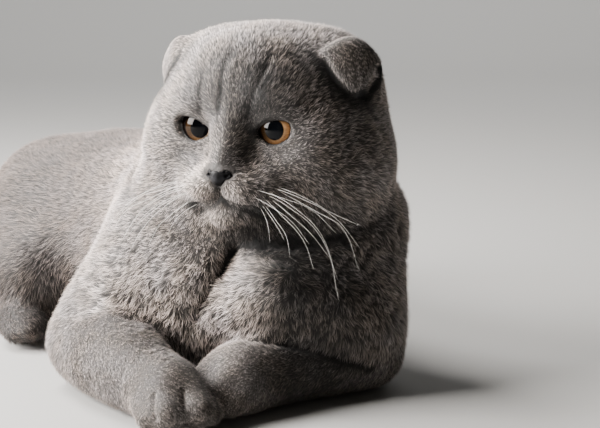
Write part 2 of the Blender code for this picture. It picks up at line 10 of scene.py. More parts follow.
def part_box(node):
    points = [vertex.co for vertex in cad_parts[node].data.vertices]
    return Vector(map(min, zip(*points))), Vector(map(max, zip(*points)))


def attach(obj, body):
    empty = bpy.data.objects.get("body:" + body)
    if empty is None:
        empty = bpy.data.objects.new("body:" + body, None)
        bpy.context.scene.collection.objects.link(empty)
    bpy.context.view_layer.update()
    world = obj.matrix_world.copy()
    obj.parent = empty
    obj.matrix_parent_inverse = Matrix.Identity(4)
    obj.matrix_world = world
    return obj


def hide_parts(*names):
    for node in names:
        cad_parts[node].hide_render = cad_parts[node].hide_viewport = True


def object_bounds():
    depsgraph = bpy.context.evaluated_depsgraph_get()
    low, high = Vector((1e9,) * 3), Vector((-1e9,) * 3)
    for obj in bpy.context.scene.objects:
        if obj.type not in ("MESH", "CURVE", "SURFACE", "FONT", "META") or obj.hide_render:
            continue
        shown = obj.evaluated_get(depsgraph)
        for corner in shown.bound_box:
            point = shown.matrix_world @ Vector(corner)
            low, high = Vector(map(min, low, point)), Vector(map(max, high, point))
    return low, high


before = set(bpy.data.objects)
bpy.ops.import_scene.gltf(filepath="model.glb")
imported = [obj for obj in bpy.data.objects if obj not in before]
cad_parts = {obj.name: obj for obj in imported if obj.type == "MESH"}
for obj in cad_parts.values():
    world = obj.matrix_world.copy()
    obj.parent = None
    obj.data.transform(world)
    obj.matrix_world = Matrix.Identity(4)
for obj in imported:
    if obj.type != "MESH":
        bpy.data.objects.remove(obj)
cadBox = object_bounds()
mm = 0.001
rng = np.random.default_rng(11)


# shared helpers

def say(text):
    print("cat:", text)


def deselectAll():
    if bpy.context.mode != "OBJECT":
        bpy.ops.object.mode_set(mode="OBJECT")
    bpy.ops.object.select_all(action="DESELECT")


def makeActive(thing):
    deselectAll()
    thing.select_set(True)
    bpy.context.view_layer.objects.active = thing


def applyModifier(thing, kind, **settings):
    makeActive(thing)
    modifier = thing.modifiers.new(kind.lower(), kind)
    for name, value in settings.items():
        setattr(modifier, name, value)
    bpy.ops.object.modifier_apply(modifier=modifier.name)


def nodeCopy(name):
    # a copy of a solid of the frame with its loose triangles merged
    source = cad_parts[name]
    thing = source.copy()
    thing.data = source.data.copy()
    thing.parent = None
    for key in list(thing.keys()):
        del thing[key]
    bpy.context.scene.collection.objects.link(thing)
    makeActive(thing)
    bpy.ops.object.mode_set(mode="EDIT")
    bpy.ops.mesh.select_all(action="SELECT")
    bpy.ops.mesh.remove_doubles(threshold=0.01 * mm)
    bpy.ops.object.mode_set(mode="OBJECT")
    return thing


def pointsOf(mesh):
    flat = np.empty(len(mesh.vertices) * 3, np.float32)
    mesh.vertices.foreach_get("co", flat)
    return flat.reshape(-1, 3).astype(float)


def normalsOf(mesh):
    flat = np.empty(len(mesh.vertices) * 3, np.float32)
    mesh.vertices.foreach_get("normal", flat)
    return flat.reshape(-1, 3).astype(float)


def edgesOf(mesh):
    flat = np.empty(len(mesh.edges) * 2, np.int32)
    mesh.edges.foreach_get("vertices", flat)
    return flat.reshape(-1, 2)


def setPoints(mesh, points):
    mesh.vertices.foreach_set("co", points.astype(np.float32).ravel())
    mesh.update()


def unit(vectors):
    return vectors / np.maximum(np.linalg.norm(vectors, axis=1, keepdims=True), 1e-9)


def ramp(value, low, high):
    # a smooth step from 0 at low to 1 at high, also where high is the lower number
    share = np.clip((value - low) / (high - low), 0, 1)
    return share * share * (3 - 2 * share)


def spread(values, edges, rounds, hold=0.0):
    # the values smoothed over the mesh, a number or a vector at each point
    flat = values.reshape(len(values), -1).copy()
    degree = np.bincount(edges.ravel(), minlength=len(flat)).astype(float)[:, None]
    first, second = edges[:, 0], edges[:, 1]
    for _ in range(rounds):
        mean = np.empty_like(flat)
        for k in range(flat.shape[1]):
            mean[:, k] = np.bincount(first, flat[second, k], len(flat))
            mean[:, k] += np.bincount(second, flat[first, k], len(flat))
        mean /= degree
        flat = hold * flat + (1 - hold) * mean if np.isscalar(hold) else flat + (1 - hold[:, None]) * (mean - flat)
    return flat.reshape(values.shape)


def ripple(points, wavelength, seed, waves=9):
    # smooth noise of about -1 to 1, and its slope times the wavelength
    draw = np.random.default_rng(seed)
    ways = unit(draw.normal(size=(waves, 3)))
    counts = 2 * math.pi / (wavelength * draw.uniform(0.7, 1.5, waves))
    phase = points @ (ways * counts[:, None]).T + draw.uniform(0, 2 * math.pi, waves)
    scale = math.sqrt(2 / waves)
    value = np.sin(phase).sum(axis=1) * scale
    slope = (np.cos(phase) * counts) @ ways * scale * wavelength / (2 * math.pi)
    return value, slope


def lineDistance(points, line):
    line = np.array(line)
    nearest = np.full(len(points), 1.0)
    for start, end in zip(line[:-1], line[1:]):
        along = end - start
        share = np.clip((points - start) @ along / (along @ along), 0, 1)
        nearest = np.minimum(nearest, np.linalg.norm(points - start - share[:, None] * along, axis=1))
    return nearest


# camera, light and floor

photoView = {
    "place": (-0.4092, -0.9442, 0.2413),
    "target": (0.0169, -0.1064, 0.0941),
    "lens": 101.93,
    "sensor": 36.0,
    "wide": 600,
    "tall": 428,
}


def sightThrough(across, down):
    # where the camera stands, and its line of sight through a place in the picture
    place = Vector(photoView["place"])
    turn = (Vector(photoView["target"]) - place).to_track_quat("-Z", "Y")
    scale = photoView["sensor"] / photoView["lens"] / photoView["wide"]
    x = (across - photoView["wide"] / 2) * scale
    y = (photoView["tall"] / 2 - down) * scale
    return place, (turn @ Vector((x, y, -1.0))).normalized()


def addCamera():
    bpy.ops.object.camera_add(location=photoView["place"])
    camera = bpy.context.object
    camera.name = "photoCamera"
    sight = Vector(photoView["target"]) - Vector(photoView["place"])
    camera.rotation_euler = sight.to_track_quat("-Z", "Y").to_euler()
    camera.data.lens = photoView["lens"]
    camera.data.clip_start = 0.01
    bpy.context.scene.camera = camera


studio = {
    "lights": {
        # name: azimuth, elevation, distance, width, height, watts, colour
        "windowLight": (-104, 24, 1.25, 0.85, 0.80, 104, (1.0, 0.965, 0.93)),
        "topLight": (-150, 50, 1.30, 0.70, 0.50, 46, (1.0, 0.97, 0.94)),
        "fillLight": (-14, 14, 1.90, 1.20, 1.00, 0.6, (1.0, 0.93, 0.80)),
    },
    # the backdrop: how far behind the cat it starts to rise, the radius of its curve, its height,
    # and the lamp over it
    "sweep": {"turn": -26.0, "near": 20.0, "back": 2.2, "curve": 1.6, "tall": 4.0, "wide": 40.0},
    "backLight": {"away": 1.9, "above": 2.3, "width": 4.0, "height": 0.8, "watts": 95},
    "aim": (0.0, -0.08, 0.10),
    "air": (0.84, 0.80, 0.72),
    "airStrength": 0.055,
    "floorColour": (0.36, 0.355, 0.345),
}


def addStudio():
    aim = Vector(studio["aim"])
    for name, (azimuth, elevation, distance, width, height, watts, colour) in studio["lights"].items():
        a, e = math.radians(azimuth), math.radians(elevation)
        way = Vector((math.sin(a) * math.cos(e), -math.cos(a) * math.cos(e), math.sin(e)))
        bpy.ops.object.light_add(type="AREA", location=aim + way * distance)
        lamp = bpy.context.object
        lamp.name = name
        lamp.rotation_euler = (-way).to_track_quat("-Z", "Y").to_euler()
        lamp.data.shape = "RECTANGLE"
        lamp.data.size, lamp.data.size_y = width, height
        lamp.data.energy, lamp.data.color = watts, colour
    world = bpy.data.worlds.new("studioAir")
    world.use_nodes = True
    bpy.context.scene.world = world
    air = world.node_tree.nodes["Background"]
    air.inputs["Color"].default_value = (*studio["air"], 1)
    air.inputs["Strength"].default_value = studio["airStrength"]
    addBackdrop()


def addBackdrop():
    # a plain floor that rises in one curve behind the cat, as a photographer's sweep
    sweep, lampSet = studio["sweep"], studio["backLight"]
    turn = Matrix.Rotation(math.radians(sweep["turn"]), 4, "Z")
    deselectAll()
    bpy.ops.mesh.primitive_plane_add(size=1.0, location=(0, 0, 0))
    floor = bpy.context.object
    floor.name = "studioFloor"
    depth = sweep["near"] + sweep["back"]
    middle = (sweep["back"] - sweep["near"]) / 2
    for vertex in floor.data.vertices:
        vertex.co = (vertex.co.x * sweep["wide"], vertex.co.y * depth + middle, 0)
    steps = 24
    previous = (0.0, 0.0)
    for k in range(1, steps + 2):
        angle = math.pi / 2 * min(k, steps) / steps
        place = (sweep["curve"] * math.sin(angle), sweep["curve"] * (1 - math.cos(angle)))
        if k > steps:
            place = (place[0], sweep["tall"])
        bpy.ops.object.mode_set(mode="EDIT")
        bpy.ops.mesh.select_all(action="DESELECT")
        bpy.ops.object.mode_set(mode="OBJECT")
        edge = sweep["back"] + previous[0] - 1e-4
        for vertex in floor.data.vertices:
            vertex.select = vertex.co.y > edge and vertex.co.z > previous[1] - 1e-4
        for line in floor.data.edges:
            line.select = all(floor.data.vertices[v].select for v in line.vertices)
        bpy.ops.object.mode_set(mode="EDIT")
        bpy.ops.mesh.extrude_region_move(
            TRANSFORM_OT_translate={"value": (0, place[0] - previous[0], place[1] - previous[1])})
        bpy.ops.object.mode_set(mode="OBJECT")
        previous = place
    bpy.ops.object.shade_smooth()
    floor.data.transform(turn)
    floor.data.materials.append(plainMaterial("paleFloor", studio["floorColour"], 0.7))
    place = turn @ Vector((0, lampSet["away"], lampSet["above"]))
    bpy.ops.object.light_add(type="AREA", location=place)
    lamp = bpy.context.object
    lamp.name = "backLight"
    wall = turn @ Vector((0, sweep["back"] + sweep["curve"], 0.2))
    lamp.rotation_euler = (wall - place).to_track_quat("-Z", "Y").to_euler()
    lamp.data.shape = "RECTANGLE"
    lamp.data.size, lamp.data.size_y = lampSet["width"], lampSet["height"]
    lamp.data.energy = lampSet["watts"]
    deselectAll()


# materials

def nodeMaterial(name):
    material = bpy.data.materials.new(name)
    material.use_nodes = True
    tree = material.node_tree
    return material, tree, tree.nodes["Principled BSDF"]


def plainMaterial(name, colour, roughness):
    material, tree, shader = nodeMaterial(name)
    shader.inputs["Base Color"].default_value = (*colour, 1)
    shader.inputs["Roughness"].default_value = roughness
    return material


def addNode(tree, kind, links=(), **settings):
    node = tree.nodes.new(kind)
    for name, value in settings.items():
        if name in node.inputs:
            node.inputs[name].default_value = value
        else:
            setattr(node, name, value)
    for socket, source in dict(links).items():
        tree.links.new(source, node.inputs[socket])
    return node


def colourRamp(tree, source, stops):
    node = tree.nodes.new("ShaderNodeValToRGB")
    tree.links.new(source, node.inputs["Fac"])
    while len(node.color_ramp.elements) < len(stops):
        node.color_ramp.elements.new(0.5)
    for element, (place, colour) in zip(node.color_ramp.elements, stops):
        element.position, element.color = place, (*colour, 1)
    return node.outputs["Color"]


coatColour = {
    "low": (0.022, 0.019, 0.017),
    "under": (0.120, 0.106, 0.098),
    "root": (0.010, 0.009, 0.008),
    "middle": (0.064, 0.058, 0.053),
    "tip": (0.326, 0.282, 0.264),
    "bodyTint": (1.10, 1.0, 0.95),
    "warm": (1.04, 1.0, 0.94),
    "cool": (0.98, 1.0, 1.03),
    "dark": 0.03,
    "light": 1.97,
    "faintTuft": 0.16,
    "brightTuft": 2.5,
    "roughness": 0.62,
}


def coatMaterial(name, onTufts):
    # The base colour runs from root to tip; a tone for each tuft and the markings, with their painted light and
    # shade, scale it.
    material, tree, shader = nodeMaterial(name)
    markingLightAndShade = addNode(tree, "ShaderNodeAttribute", attribute_name="markingLightAndShade").outputs["Fac"]
    place = addNode(tree, "ShaderNodeTexCoord").outputs["Object"]
    patches = addNode(tree, "ShaderNodeTexNoise", {"Vector": place}, Scale=60.0, Detail=3.0)
    if onTufts:
        along = addNode(tree, "ShaderNodeAttribute", attribute_name="along").outputs["Fac"]
        tone = addNode(tree, "ShaderNodeAttribute", attribute_name="tone").outputs["Fac"]
        base = colourRamp(tree, along, (
            (0.0, coatColour["root"]), (0.35, coatColour["middle"]), (0.75, coatColour["tip"])))
    else:
        tone = patches.outputs["Fac"]
        grain = addNode(tree, "ShaderNodeTexNoise", {"Vector": place}, Scale=900.0, Detail=4.0)
        base = colourRamp(tree, grain.outputs["Fac"], (
            (0.30, coatColour["low"]), (0.80, coatColour["under"])))
        bump = addNode(tree, "ShaderNodeBump", {"Height": grain.outputs["Fac"]}, Strength=0.6, Distance=0.0006)
        tree.links.new(bump.outputs["Normal"], shader.inputs["Normal"])
    toneScale = addNode(tree, "ShaderNodeMapRange", {"Value": tone})
    toneScale.inputs["To Min"].default_value = coatColour["faintTuft"]
    toneScale.inputs["To Max"].default_value = coatColour["brightTuft"] if onTufts else 0.9
    patchScale = addNode(tree, "ShaderNodeMapRange", {"Value": patches.outputs["Fac"]})
    patchScale.inputs["To Min"].default_value, patchScale.inputs["To Max"].default_value = 0.82, 1.18
    markScale = addNode(tree, "ShaderNodeMapRange", {"Value": markingLightAndShade})
    markScale.inputs["From Min"].default_value = -1.0
    markScale.inputs["To Min"].default_value = coatColour["dark"]
    markScale.inputs["To Max"].default_value = coatColour["light"]
    scale = toneScale.outputs["Result"]
    for more in (patchScale, markScale):
        scale = addNode(
            tree, "ShaderNodeMath", {0: scale, 1: more.outputs["Result"]}, operation="MULTIPLY"
        ).outputs["Value"]
    tint = colourRamp(tree, patches.outputs["Fac"], ((0.38, coatColour["warm"]), (0.62, coatColour["cool"])))
    tinted = addNode(tree, "ShaderNodeVectorMath", {0: base, 1: tint}, operation="MULTIPLY")
    # the body behind the shoulders is a little browner than the head
    behind = addNode(tree, "ShaderNodeMapRange", {
        "Value": addNode(tree, "ShaderNodeSeparateXYZ", {"Vector": place}).outputs["Y"]})
    behind.inputs["From Min"].default_value, behind.inputs["From Max"].default_value = bodyTone["from"]
    brown = colourRamp(tree, behind.outputs["Result"], ((0.0, (1.0, 1.0, 1.0)), (1.0, coatColour["bodyTint"])))
    tinted = addNode(tree, "ShaderNodeVectorMath", {0: tinted.outputs["Vector"], 1: brown}, operation="MULTIPLY")
    toned = addNode(tree, "ShaderNodeVectorMath", {0: tinted.outputs["Vector"], "Scale": scale}, operation="SCALE")
    tree.links.new(toned.outputs["Vector"], shader.inputs["Base Color"])
    shader.inputs["Roughness"].default_value = coatColour["roughness"]
    shader.inputs["Specular IOR Level"].default_value = 0.35
    shader.inputs["Sheen Weight"].default_value = 0.12
    shader.inputs["Sheen Roughness"].default_value = 0.5
    return material


# the head's own frame: x to the cat's left, y back, z up

headSet = {"centre": (0.005, -0.095, 0.142), "turn": -52.0, "nod": 3.0}
headMatrix = (
    Matrix.Translation(headSet["centre"])
    @ Matrix.Rotation(math.radians(headSet["turn"]), 4, "Z")
    @ Matrix.Rotation(math.radians(headSet["nod"]), 4, "X")
)
headAxes = np.array(headMatrix.to_3x3())
headCentre = np.array(headMatrix.translation)


def toHead(points):
    return (points - headCentre) @ headAxes


def fromHead(points):
    return np.asarray(points) @ headAxes.T + headCentre


def boxCentre(node):
    low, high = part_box(node)
    return np.array((low + high) / 2)


eyeSet = {
    "radius": 0.0112,
    "splay": 13.0,
    "tilt": 12.0,
    "innerReach": 0.0122,
    "outerReach": 0.0103,
    "upperHeight": 0.0070,
    "lowerHeight": 0.0080,
}
sides = {"right": -1.0, "left": 1.0}
eyePlaces = {name: boxCentre("eye_" + name) for name in sides}


def eyeMatrix(side):
    name = "left" if side > 0 else "right"
    return (
        Matrix.Translation(eyePlaces[name])
        @ Matrix.Rotation(math.radians(headSet["turn"]), 4, "Z")
        @ Matrix.Rotation(math.radians(headSet["nod"]), 4, "X")
        @ Matrix.Rotation(math.radians(eyeSet["splay"] * side), 4, "Z")
        @ Matrix.Rotation(math.radians(-eyeSet["tilt"] * side), 4, "Y")
    )


# skin

skinSet = {
    "overlap": 0.4 * mm,
    "voxel": 1.2 * mm,
    "triangles": 186000,
    "bodyRounds": 26,
    "faceRounds": 6,
    "faceReach": 0.062,
    "earHold": 0.88,
    "pawHold": 0.70,
}

# For each node of flesh, in millimetres: length of a tuft, height of its tip over the skin,
# half width at its root, tufts on each square millimetre, and how much the coat waves.
coatByNode = {
    "head": (3.6, 2.0, 0.165, 2.45, 0.22),
    "ear": (2.8, 0.8, 0.130, 3.00, 0.14),
    "neck": (5.6, 2.8, 0.190, 2.00, 0.38),
    "torso": (6.6, 2.4, 0.260, 1.02, 0.20),
    "upper_arm": (5.8, 2.8, 0.210, 1.50, 0.32),
    "forearm": (4.4, 1.8, 0.175, 2.00, 0.18),
    "forepaw": (2.8, 1.3, 0.145, 2.50, 0.14),
    "thigh": (6.4, 2.3, 0.260, 1.00, 0.18),
    "hind_foot": (5.4, 2.1, 0.240, 1.00, 0.18),
    "tail": (6.4, 2.4, 0.250, 0.90, 0.20),
}
fleshNodes = sorted(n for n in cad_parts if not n.startswith(("eye", "nose")))


def kindOf(node):
    return next(kind for kind in coatByNode if node.startswith(kind))


# Places of the head where the coat changes, in its own frame and in millimetres: centre, reach,
# then length, tip height, half width, density and wave as above. Off the midline on both sides.
coatSpots = (
    ((0, -58, -6), 13, (1.9, 0.8, 0.115, 3.6, 0.08)),
    ((0, -50, 8), 15, (2.6, 1.2, 0.125, 3.2, 0.14)),
    ((0, -40, 26), 26, (3.2, 1.7, 0.150, 2.7, 0.20)),
    ((40, -30, 10), 26, (3.4, 1.8, 0.160, 2.5, 0.20)),
    ((22.8, -46, 6.5), 19, (2.1, 0.8, 0.115, 3.2, 0.10)),
    ((13, -66, -24), 16, (2.8, 1.2, 0.125, 3.2, 0.16)),
    ((25, -52, -27), 14, (3.4, 1.6, 0.140, 2.8, 0.18)),
    ((0, -62, -40), 15, (3.3, 1.3, 0.135, 2.8, 0.16)),
    ((62, -8, -24), 26, (4.6, 2.6, 0.175, 2.0, 0.28)),
)

# Folds of the skin, each along places in the picture: how deep, how wide and how dark it is,
# and whether the other half of the head has one too. The dark is painted shade in the creases,
# gaps and hollows, and dark stripes along the furrows of the brow.
folds = {
    "chestGap": {
        "depth": 6.0, "reach": 3.8, "dark": 1.2, "twin": False,
        "through": ((233, 249), (228, 260), (222, 272)),
    },
    "chestCrease": {
        "depth": 2.6, "reach": 2.2, "dark": 0.8, "twin": False,
        "through": ((223, 271), (212, 285), (204, 300), (198, 316)),
    },
    "jaw": {
        "depth": 2.2, "reach": 4.6, "dark": 0.35, "twin": True,
        "through": ((215, 230), (238, 241), (270, 245), (300, 244), (350, 234), (385, 214)),
    },
    "armBend": {
        "depth": 2.0, "reach": 3.2, "dark": 0.30, "twin": False,
        "through": ((128, 318), (150, 322), (168, 332), (186, 345), (199, 357)),
    },
    "overForeleg": {
        "depth": 2.0, "reach": 2.4, "dark": 0.6, "twin": False,
        "through": ((212, 349), (228, 343), (255, 341), (280, 343), (305, 348), (342, 358), (372, 366)),
    },
    "toeInner": {
        "depth": 1.3, "reach": 1.5, "dark": 0.42, "twin": False,
        "through": ((183, 391), (184, 405), (187, 425)),
    },
    "toeOuter": {
        "depth": 1.3, "reach": 1.5, "dark": 0.42, "twin": False,
        "through": ((154, 394), (153, 405), (155, 418)),
    },
    "toeLast": {
        "depth": 0.9, "reach": 1.4, "dark": 0.3, "twin": False,
        "through": ((211, 392), (214, 402), (217, 416)),
    },
    "browMiddle": {
        "depth": 0.6, "reach": 2.1, "dark": 0.28, "twin": False,
        "through": ((219, 113), (221, 92), (223, 72), (232, 52)),
    },
    "browFar": {
        "depth": 0.5, "reach": 2.0, "dark": 0.26, "twin": False,
        "through": ((201, 111), (201, 92), (205, 72)),
    },
    "browNear": {
        "depth": 0.6, "reach": 2.4, "dark": 0.26, "twin": False,
        "through": ((247, 117), (252, 98), (259, 80), (272, 58)),
    },
    # painted shade only, with no fold: the slope of the forehead turned away from the window
    "browSlopeShade": {
        "depth": 0.0, "reach": 15.0, "dark": 0.28, "twin": False,
        "through": ((266, 100), (284, 82), (306, 68)),
    },
    # painted shade beside the bridge of the nose, over a shallow dip
    "shadeBesideNose": {
        "depth": 0.4, "reach": 3.0, "dark": 0.42, "twin": True,
        "through": ((252, 132), (246, 146), (240, 158)),
    },
    # painted shade on the cheek under the far eye, over a shallow hollow
    "shadedCheekHollow": {
        "depth": 0.6, "reach": 5.0, "dark": 0.30, "twin": False,
        "through": ((182, 152), (191, 158), (200, 160)),
    },
    # painted shadow under the whisker pads, along a shallow groove
    "shadowUnderPad": {
        "depth": 0.8, "reach": 1.5, "dark": 0.75, "twin": True,
        "through": ((222, 197), (230, 205.5), (241, 208.5), (252, 211), (263, 215)),
    },
    "nostrilWing": {
        "depth": 0.9, "reach": 0.8, "dark": 1.3, "twin": True,
        "through": ((229, 174.5), (232, 173.5), (236, 171.5)),
    },
    # painted shadow on the head under the front edge of the folded ear, along a groove
    "shadowUnderEar": {
        "depth": 2.4, "reach": 2.8, "dark": 1.6, "twin": True, "onEar": 0.45,
        "through": ((324, 59), (329, 69), (336, 80), (344, 89), (354, 95), (364, 97)),
    },
    "earShade": {
        "depth": 0.0, "reach": 9.0, "dark": 0.62, "twin": True,
        "through": ((322, 62), (330, 80), (342, 94), (360, 102)),
    },
    # painted shade in the hollow beside the ear's flap
    "shadeBesideEar": {
        "depth": 1.4, "reach": 2.4, "dark": 1.0, "twin": True, "onEar": 1.0,
        "through": ((380, 68), (378, 77), (373, 86), (368, 93)),
    },
}
# Dark roots of the whiskers on the pad, as places in the picture.
whiskerDots = {
    "radius": 1.2,
    "dark": 1.5,
    "at": (
        (240, 184), (248, 183), (257, 184), (242, 190), (250, 190), (259, 190),
        (246, 196), (255, 196), (264, 196), (249, 202), (259, 202),
    ),
}


def skinTree(skin):
    bpy.context.view_layer.update()
    return BVHTree.FromObject(skin, bpy.context.evaluated_depsgraph_get())


def drawnOn(tree, places, twin):
    # the places of the picture found on the skin, and their twins across the head
    hits = [tree.ray_cast(*sightThrough(*place))[0] for place in places]
    line = np.array([hit for hit in hits if hit])
    if not twin:
        return [line]
    crossed = fromHead(toHead(line) * (-1, 1, 1))
    return [line, np.array([tree.find_nearest(Vector(point))[0] for point in crossed])]


def foldLines(skin):
    tree = skinTree(skin)
    return {name: drawnOn(tree, fold["through"], fold["twin"]) for name, fold in folds.items()}


def foldPull(points, lines, earShare):
    # how deep the folds draw each point in, and how much they darken the coat there: painted shade, and the brow's
    # stripes
    pull, dark = np.zeros(len(points)), np.zeros(len(points))
    offEar = 1 - ramp(earShare, 0.2, 0.6)
    for name, fold in folds.items():
        reached = np.maximum(offEar, fold.get("onEar", 0.0))
        for line in lines[name]:
            share = reached * np.exp(-((lineDistance(points, line) / (fold["reach"] * mm)) ** 2))
            pull = np.maximum(pull, share * fold["depth"] * mm)
            dark = np.maximum(dark, share * fold["dark"])
    return pull, dark


def makeSkin():
    # the eyes and the nose fill their sockets, and the skin sinks under them later
    copies = [nodeCopy(name) for name in [*fleshNodes, "nose", "eye_left", "eye_right"]]
    for thing in copies:
        applyModifier(thing, "DISPLACE", strength=skinSet["overlap"], mid_level=0.0)
    deselectAll()
    for thing in copies:
        thing.select_set(True)
    skin = copies[0]
    bpy.context.view_layer.objects.active = skin
    bpy.ops.object.join()
    skin.name = skin.data.name = "skin"
    skin.data.materials.clear()
    applyModifier(skin, "REMESH", mode="VOXEL", voxel_size=skinSet["voxel"], use_smooth_shade=True)
    return skin


def nodeShares(points, edges, rounds):
    # how much each kind of flesh node owns each point, soft at the borders
    kinds = list(coatByNode)
    tree = KDTree(sum(len(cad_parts[n].data.polygons) for n in fleshNodes))
    owner = []
    for name in fleshNodes:
        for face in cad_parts[name].data.polygons:
            tree.insert(face.center, len(owner))
            owner.append(kinds.index(kindOf(name)))
    tree.balance()
    owner = np.array(owner)
    nearest = np.array([tree.find(point)[1] for point in points])
    shares = np.zeros((len(points), len(kinds)))
    shares[np.arange(len(points)), owner[nearest]] = 1.0
    return spread(shares, edges, rounds)


def coatValues(points, shares):
    # length, tip height, half width, density and wave at each point
    table = np.array(list(coatByNode.values()))
    values = shares @ table
    local = toHead(points) / mm
    onHead = shares[:, list(coatByNode).index("head")][:, None]
    for (x, y, z), reach, spot in coatSpots:
        for flip in ((1,) if x == 0 else (1, -1)):
            away = np.linalg.norm(local - (x * flip, y, z), axis=1)
            near = (1 - ramp(away, 0.45 * reach, reach))[:, None] * onHead
            values = values * (1 - near) + np.array(spot) * near
    return values


lipLine = (
    (0.000, -0.0660, -0.0220),
    (0.000, -0.0650, -0.0275),
    (0.005, -0.0645, -0.0297),
    (0.012, -0.0615, -0.0315),
    (0.019, -0.0570, -0.0325),
    (0.0255, -0.0500, -0.0325),
)
lipLines = [fromHead([(x * side, y, z) for x, y, z in lipLine]) for side in sides.values()]
lipSet = {"depth": 2.8 * mm, "reach": 1.5 * mm, "below": 0.0010, "corner": 22 * mm}

# The rim of the folded ear, in the head's own frame and in millimetres, and how pale it is.
earRim = {
    "pale": 0.75,
    "reach": 1.5,
    "line": (
        (39, -21, 45), (43, -25, 44), (49, -26, 38), (55, -26, 31), (59, -24, 25), (63, -19, 25),
        (66, -12, 31), (67, -6, 36), (66, -1, 40), (67, 5, 31),
    ),
}
earRims = [fromHead([(x * side * mm, y * mm, z * mm) for x, y, z in earRim["line"]]) for side in sides.values()]


# Below this line of the head's own frame, in millimetres, the nose is bare leather.
leatherTop = {"middle": -12.3, "fall": 0.28}


def leatherShare(points):
    # 1 on the bare part of the nose, 0 above it
    local = toHead(points) / mm
    edge = leatherTop["middle"] - leatherTop["fall"] * np.abs(local[:, 0])
    return ramp(local[:, 2], edge + 0.4, edge - 0.4)


def leatherTree():
    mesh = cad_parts["nose"].data
    middles = np.array([face.center for face in mesh.polygons])
    bare = leatherShare(middles) > 0.5
    faces = [tuple(face.vertices) for face, keep in zip(mesh.polygons, bare) if keep]
    return BVHTree.FromPolygons([tuple(vertex.co) for vertex in mesh.vertices], faces)


noseTree = leatherTree()


def eyeDistance(points):
    return np.min([np.linalg.norm(points - place, axis=1) for place in eyePlaces.values()], axis=0)


def lipDistance(points):
    return np.min([lineDistance(points, line) for line in lipLines], axis=0)


def noseDistance(points):
    # how far each point is from the nose leather, for points near it, and how squarely it lies
    # over it, from 1 straight over it to 0 beside it and -1 straight under it
    away, over = np.full(len(points), 1.0), np.zeros(len(points))
    for k in np.flatnonzero(np.linalg.norm(points - boxCentre("nose"), axis=1) < 16 * mm):
        place, normal, _, away[k] = noseTree.find_nearest(Vector(points[k]))
        over[k] = (Vector(points[k]) - place).dot(normal) / max(away[k], 0.01 * mm)
    return away, over


# The coat's surface at the outer corner of each eye, in millimetres of the eye's frame: how far
# ahead of the eye's centre it lies, at which distance to the side, and how fast it falls back.
cornerSet = {"ahead": 6.0, "aside": 9.6, "fall": 0.38}


def fillCorners(points):
    points = points.copy()
    for side in sides.values():
        matrix = np.array(eyeMatrix(side))
        local = (points - matrix[:3, 3]) @ matrix[:3, :3] / mm
        aside = local[:, 0] * side
        front = cornerSet["fall"] * (aside - cornerSet["aside"]) - cornerSet["ahead"]
        share = ramp(aside, 6.0, 8.0) * (1 - ramp(aside, 18, 27)) * (1 - ramp(np.abs(local[:, 2]), 4, 11))
        share *= 1 - ramp(local[:, 1], 4, 8)
        forward = np.maximum(local[:, 1] - front, 0) * share * mm
        points -= forward[:, None] * matrix[:3, 1]
    return points


def coatBreaks(points):
    # 1 along the wavy lines where the coat of the breast parts, which run across its lie
    stretched = points * (1.0, 1.0, 2.4)
    value = ripple(stretched, 17 * mm, 21)[0] + 0.45 * ripple(stretched, 7 * mm, 22)[0]
    breast = ramp(points[:, 1], -0.105, -0.125) * ramp(points[:, 2], 0.024, 0.036)
    breast *= 1 - ramp(points[:, 2], 0.082, 0.100)
    breast *= 0.35 + 0.65 * ramp(points[:, 0], -0.030, -0.005)
    return np.exp(-((value / 0.20) ** 2)) * breast


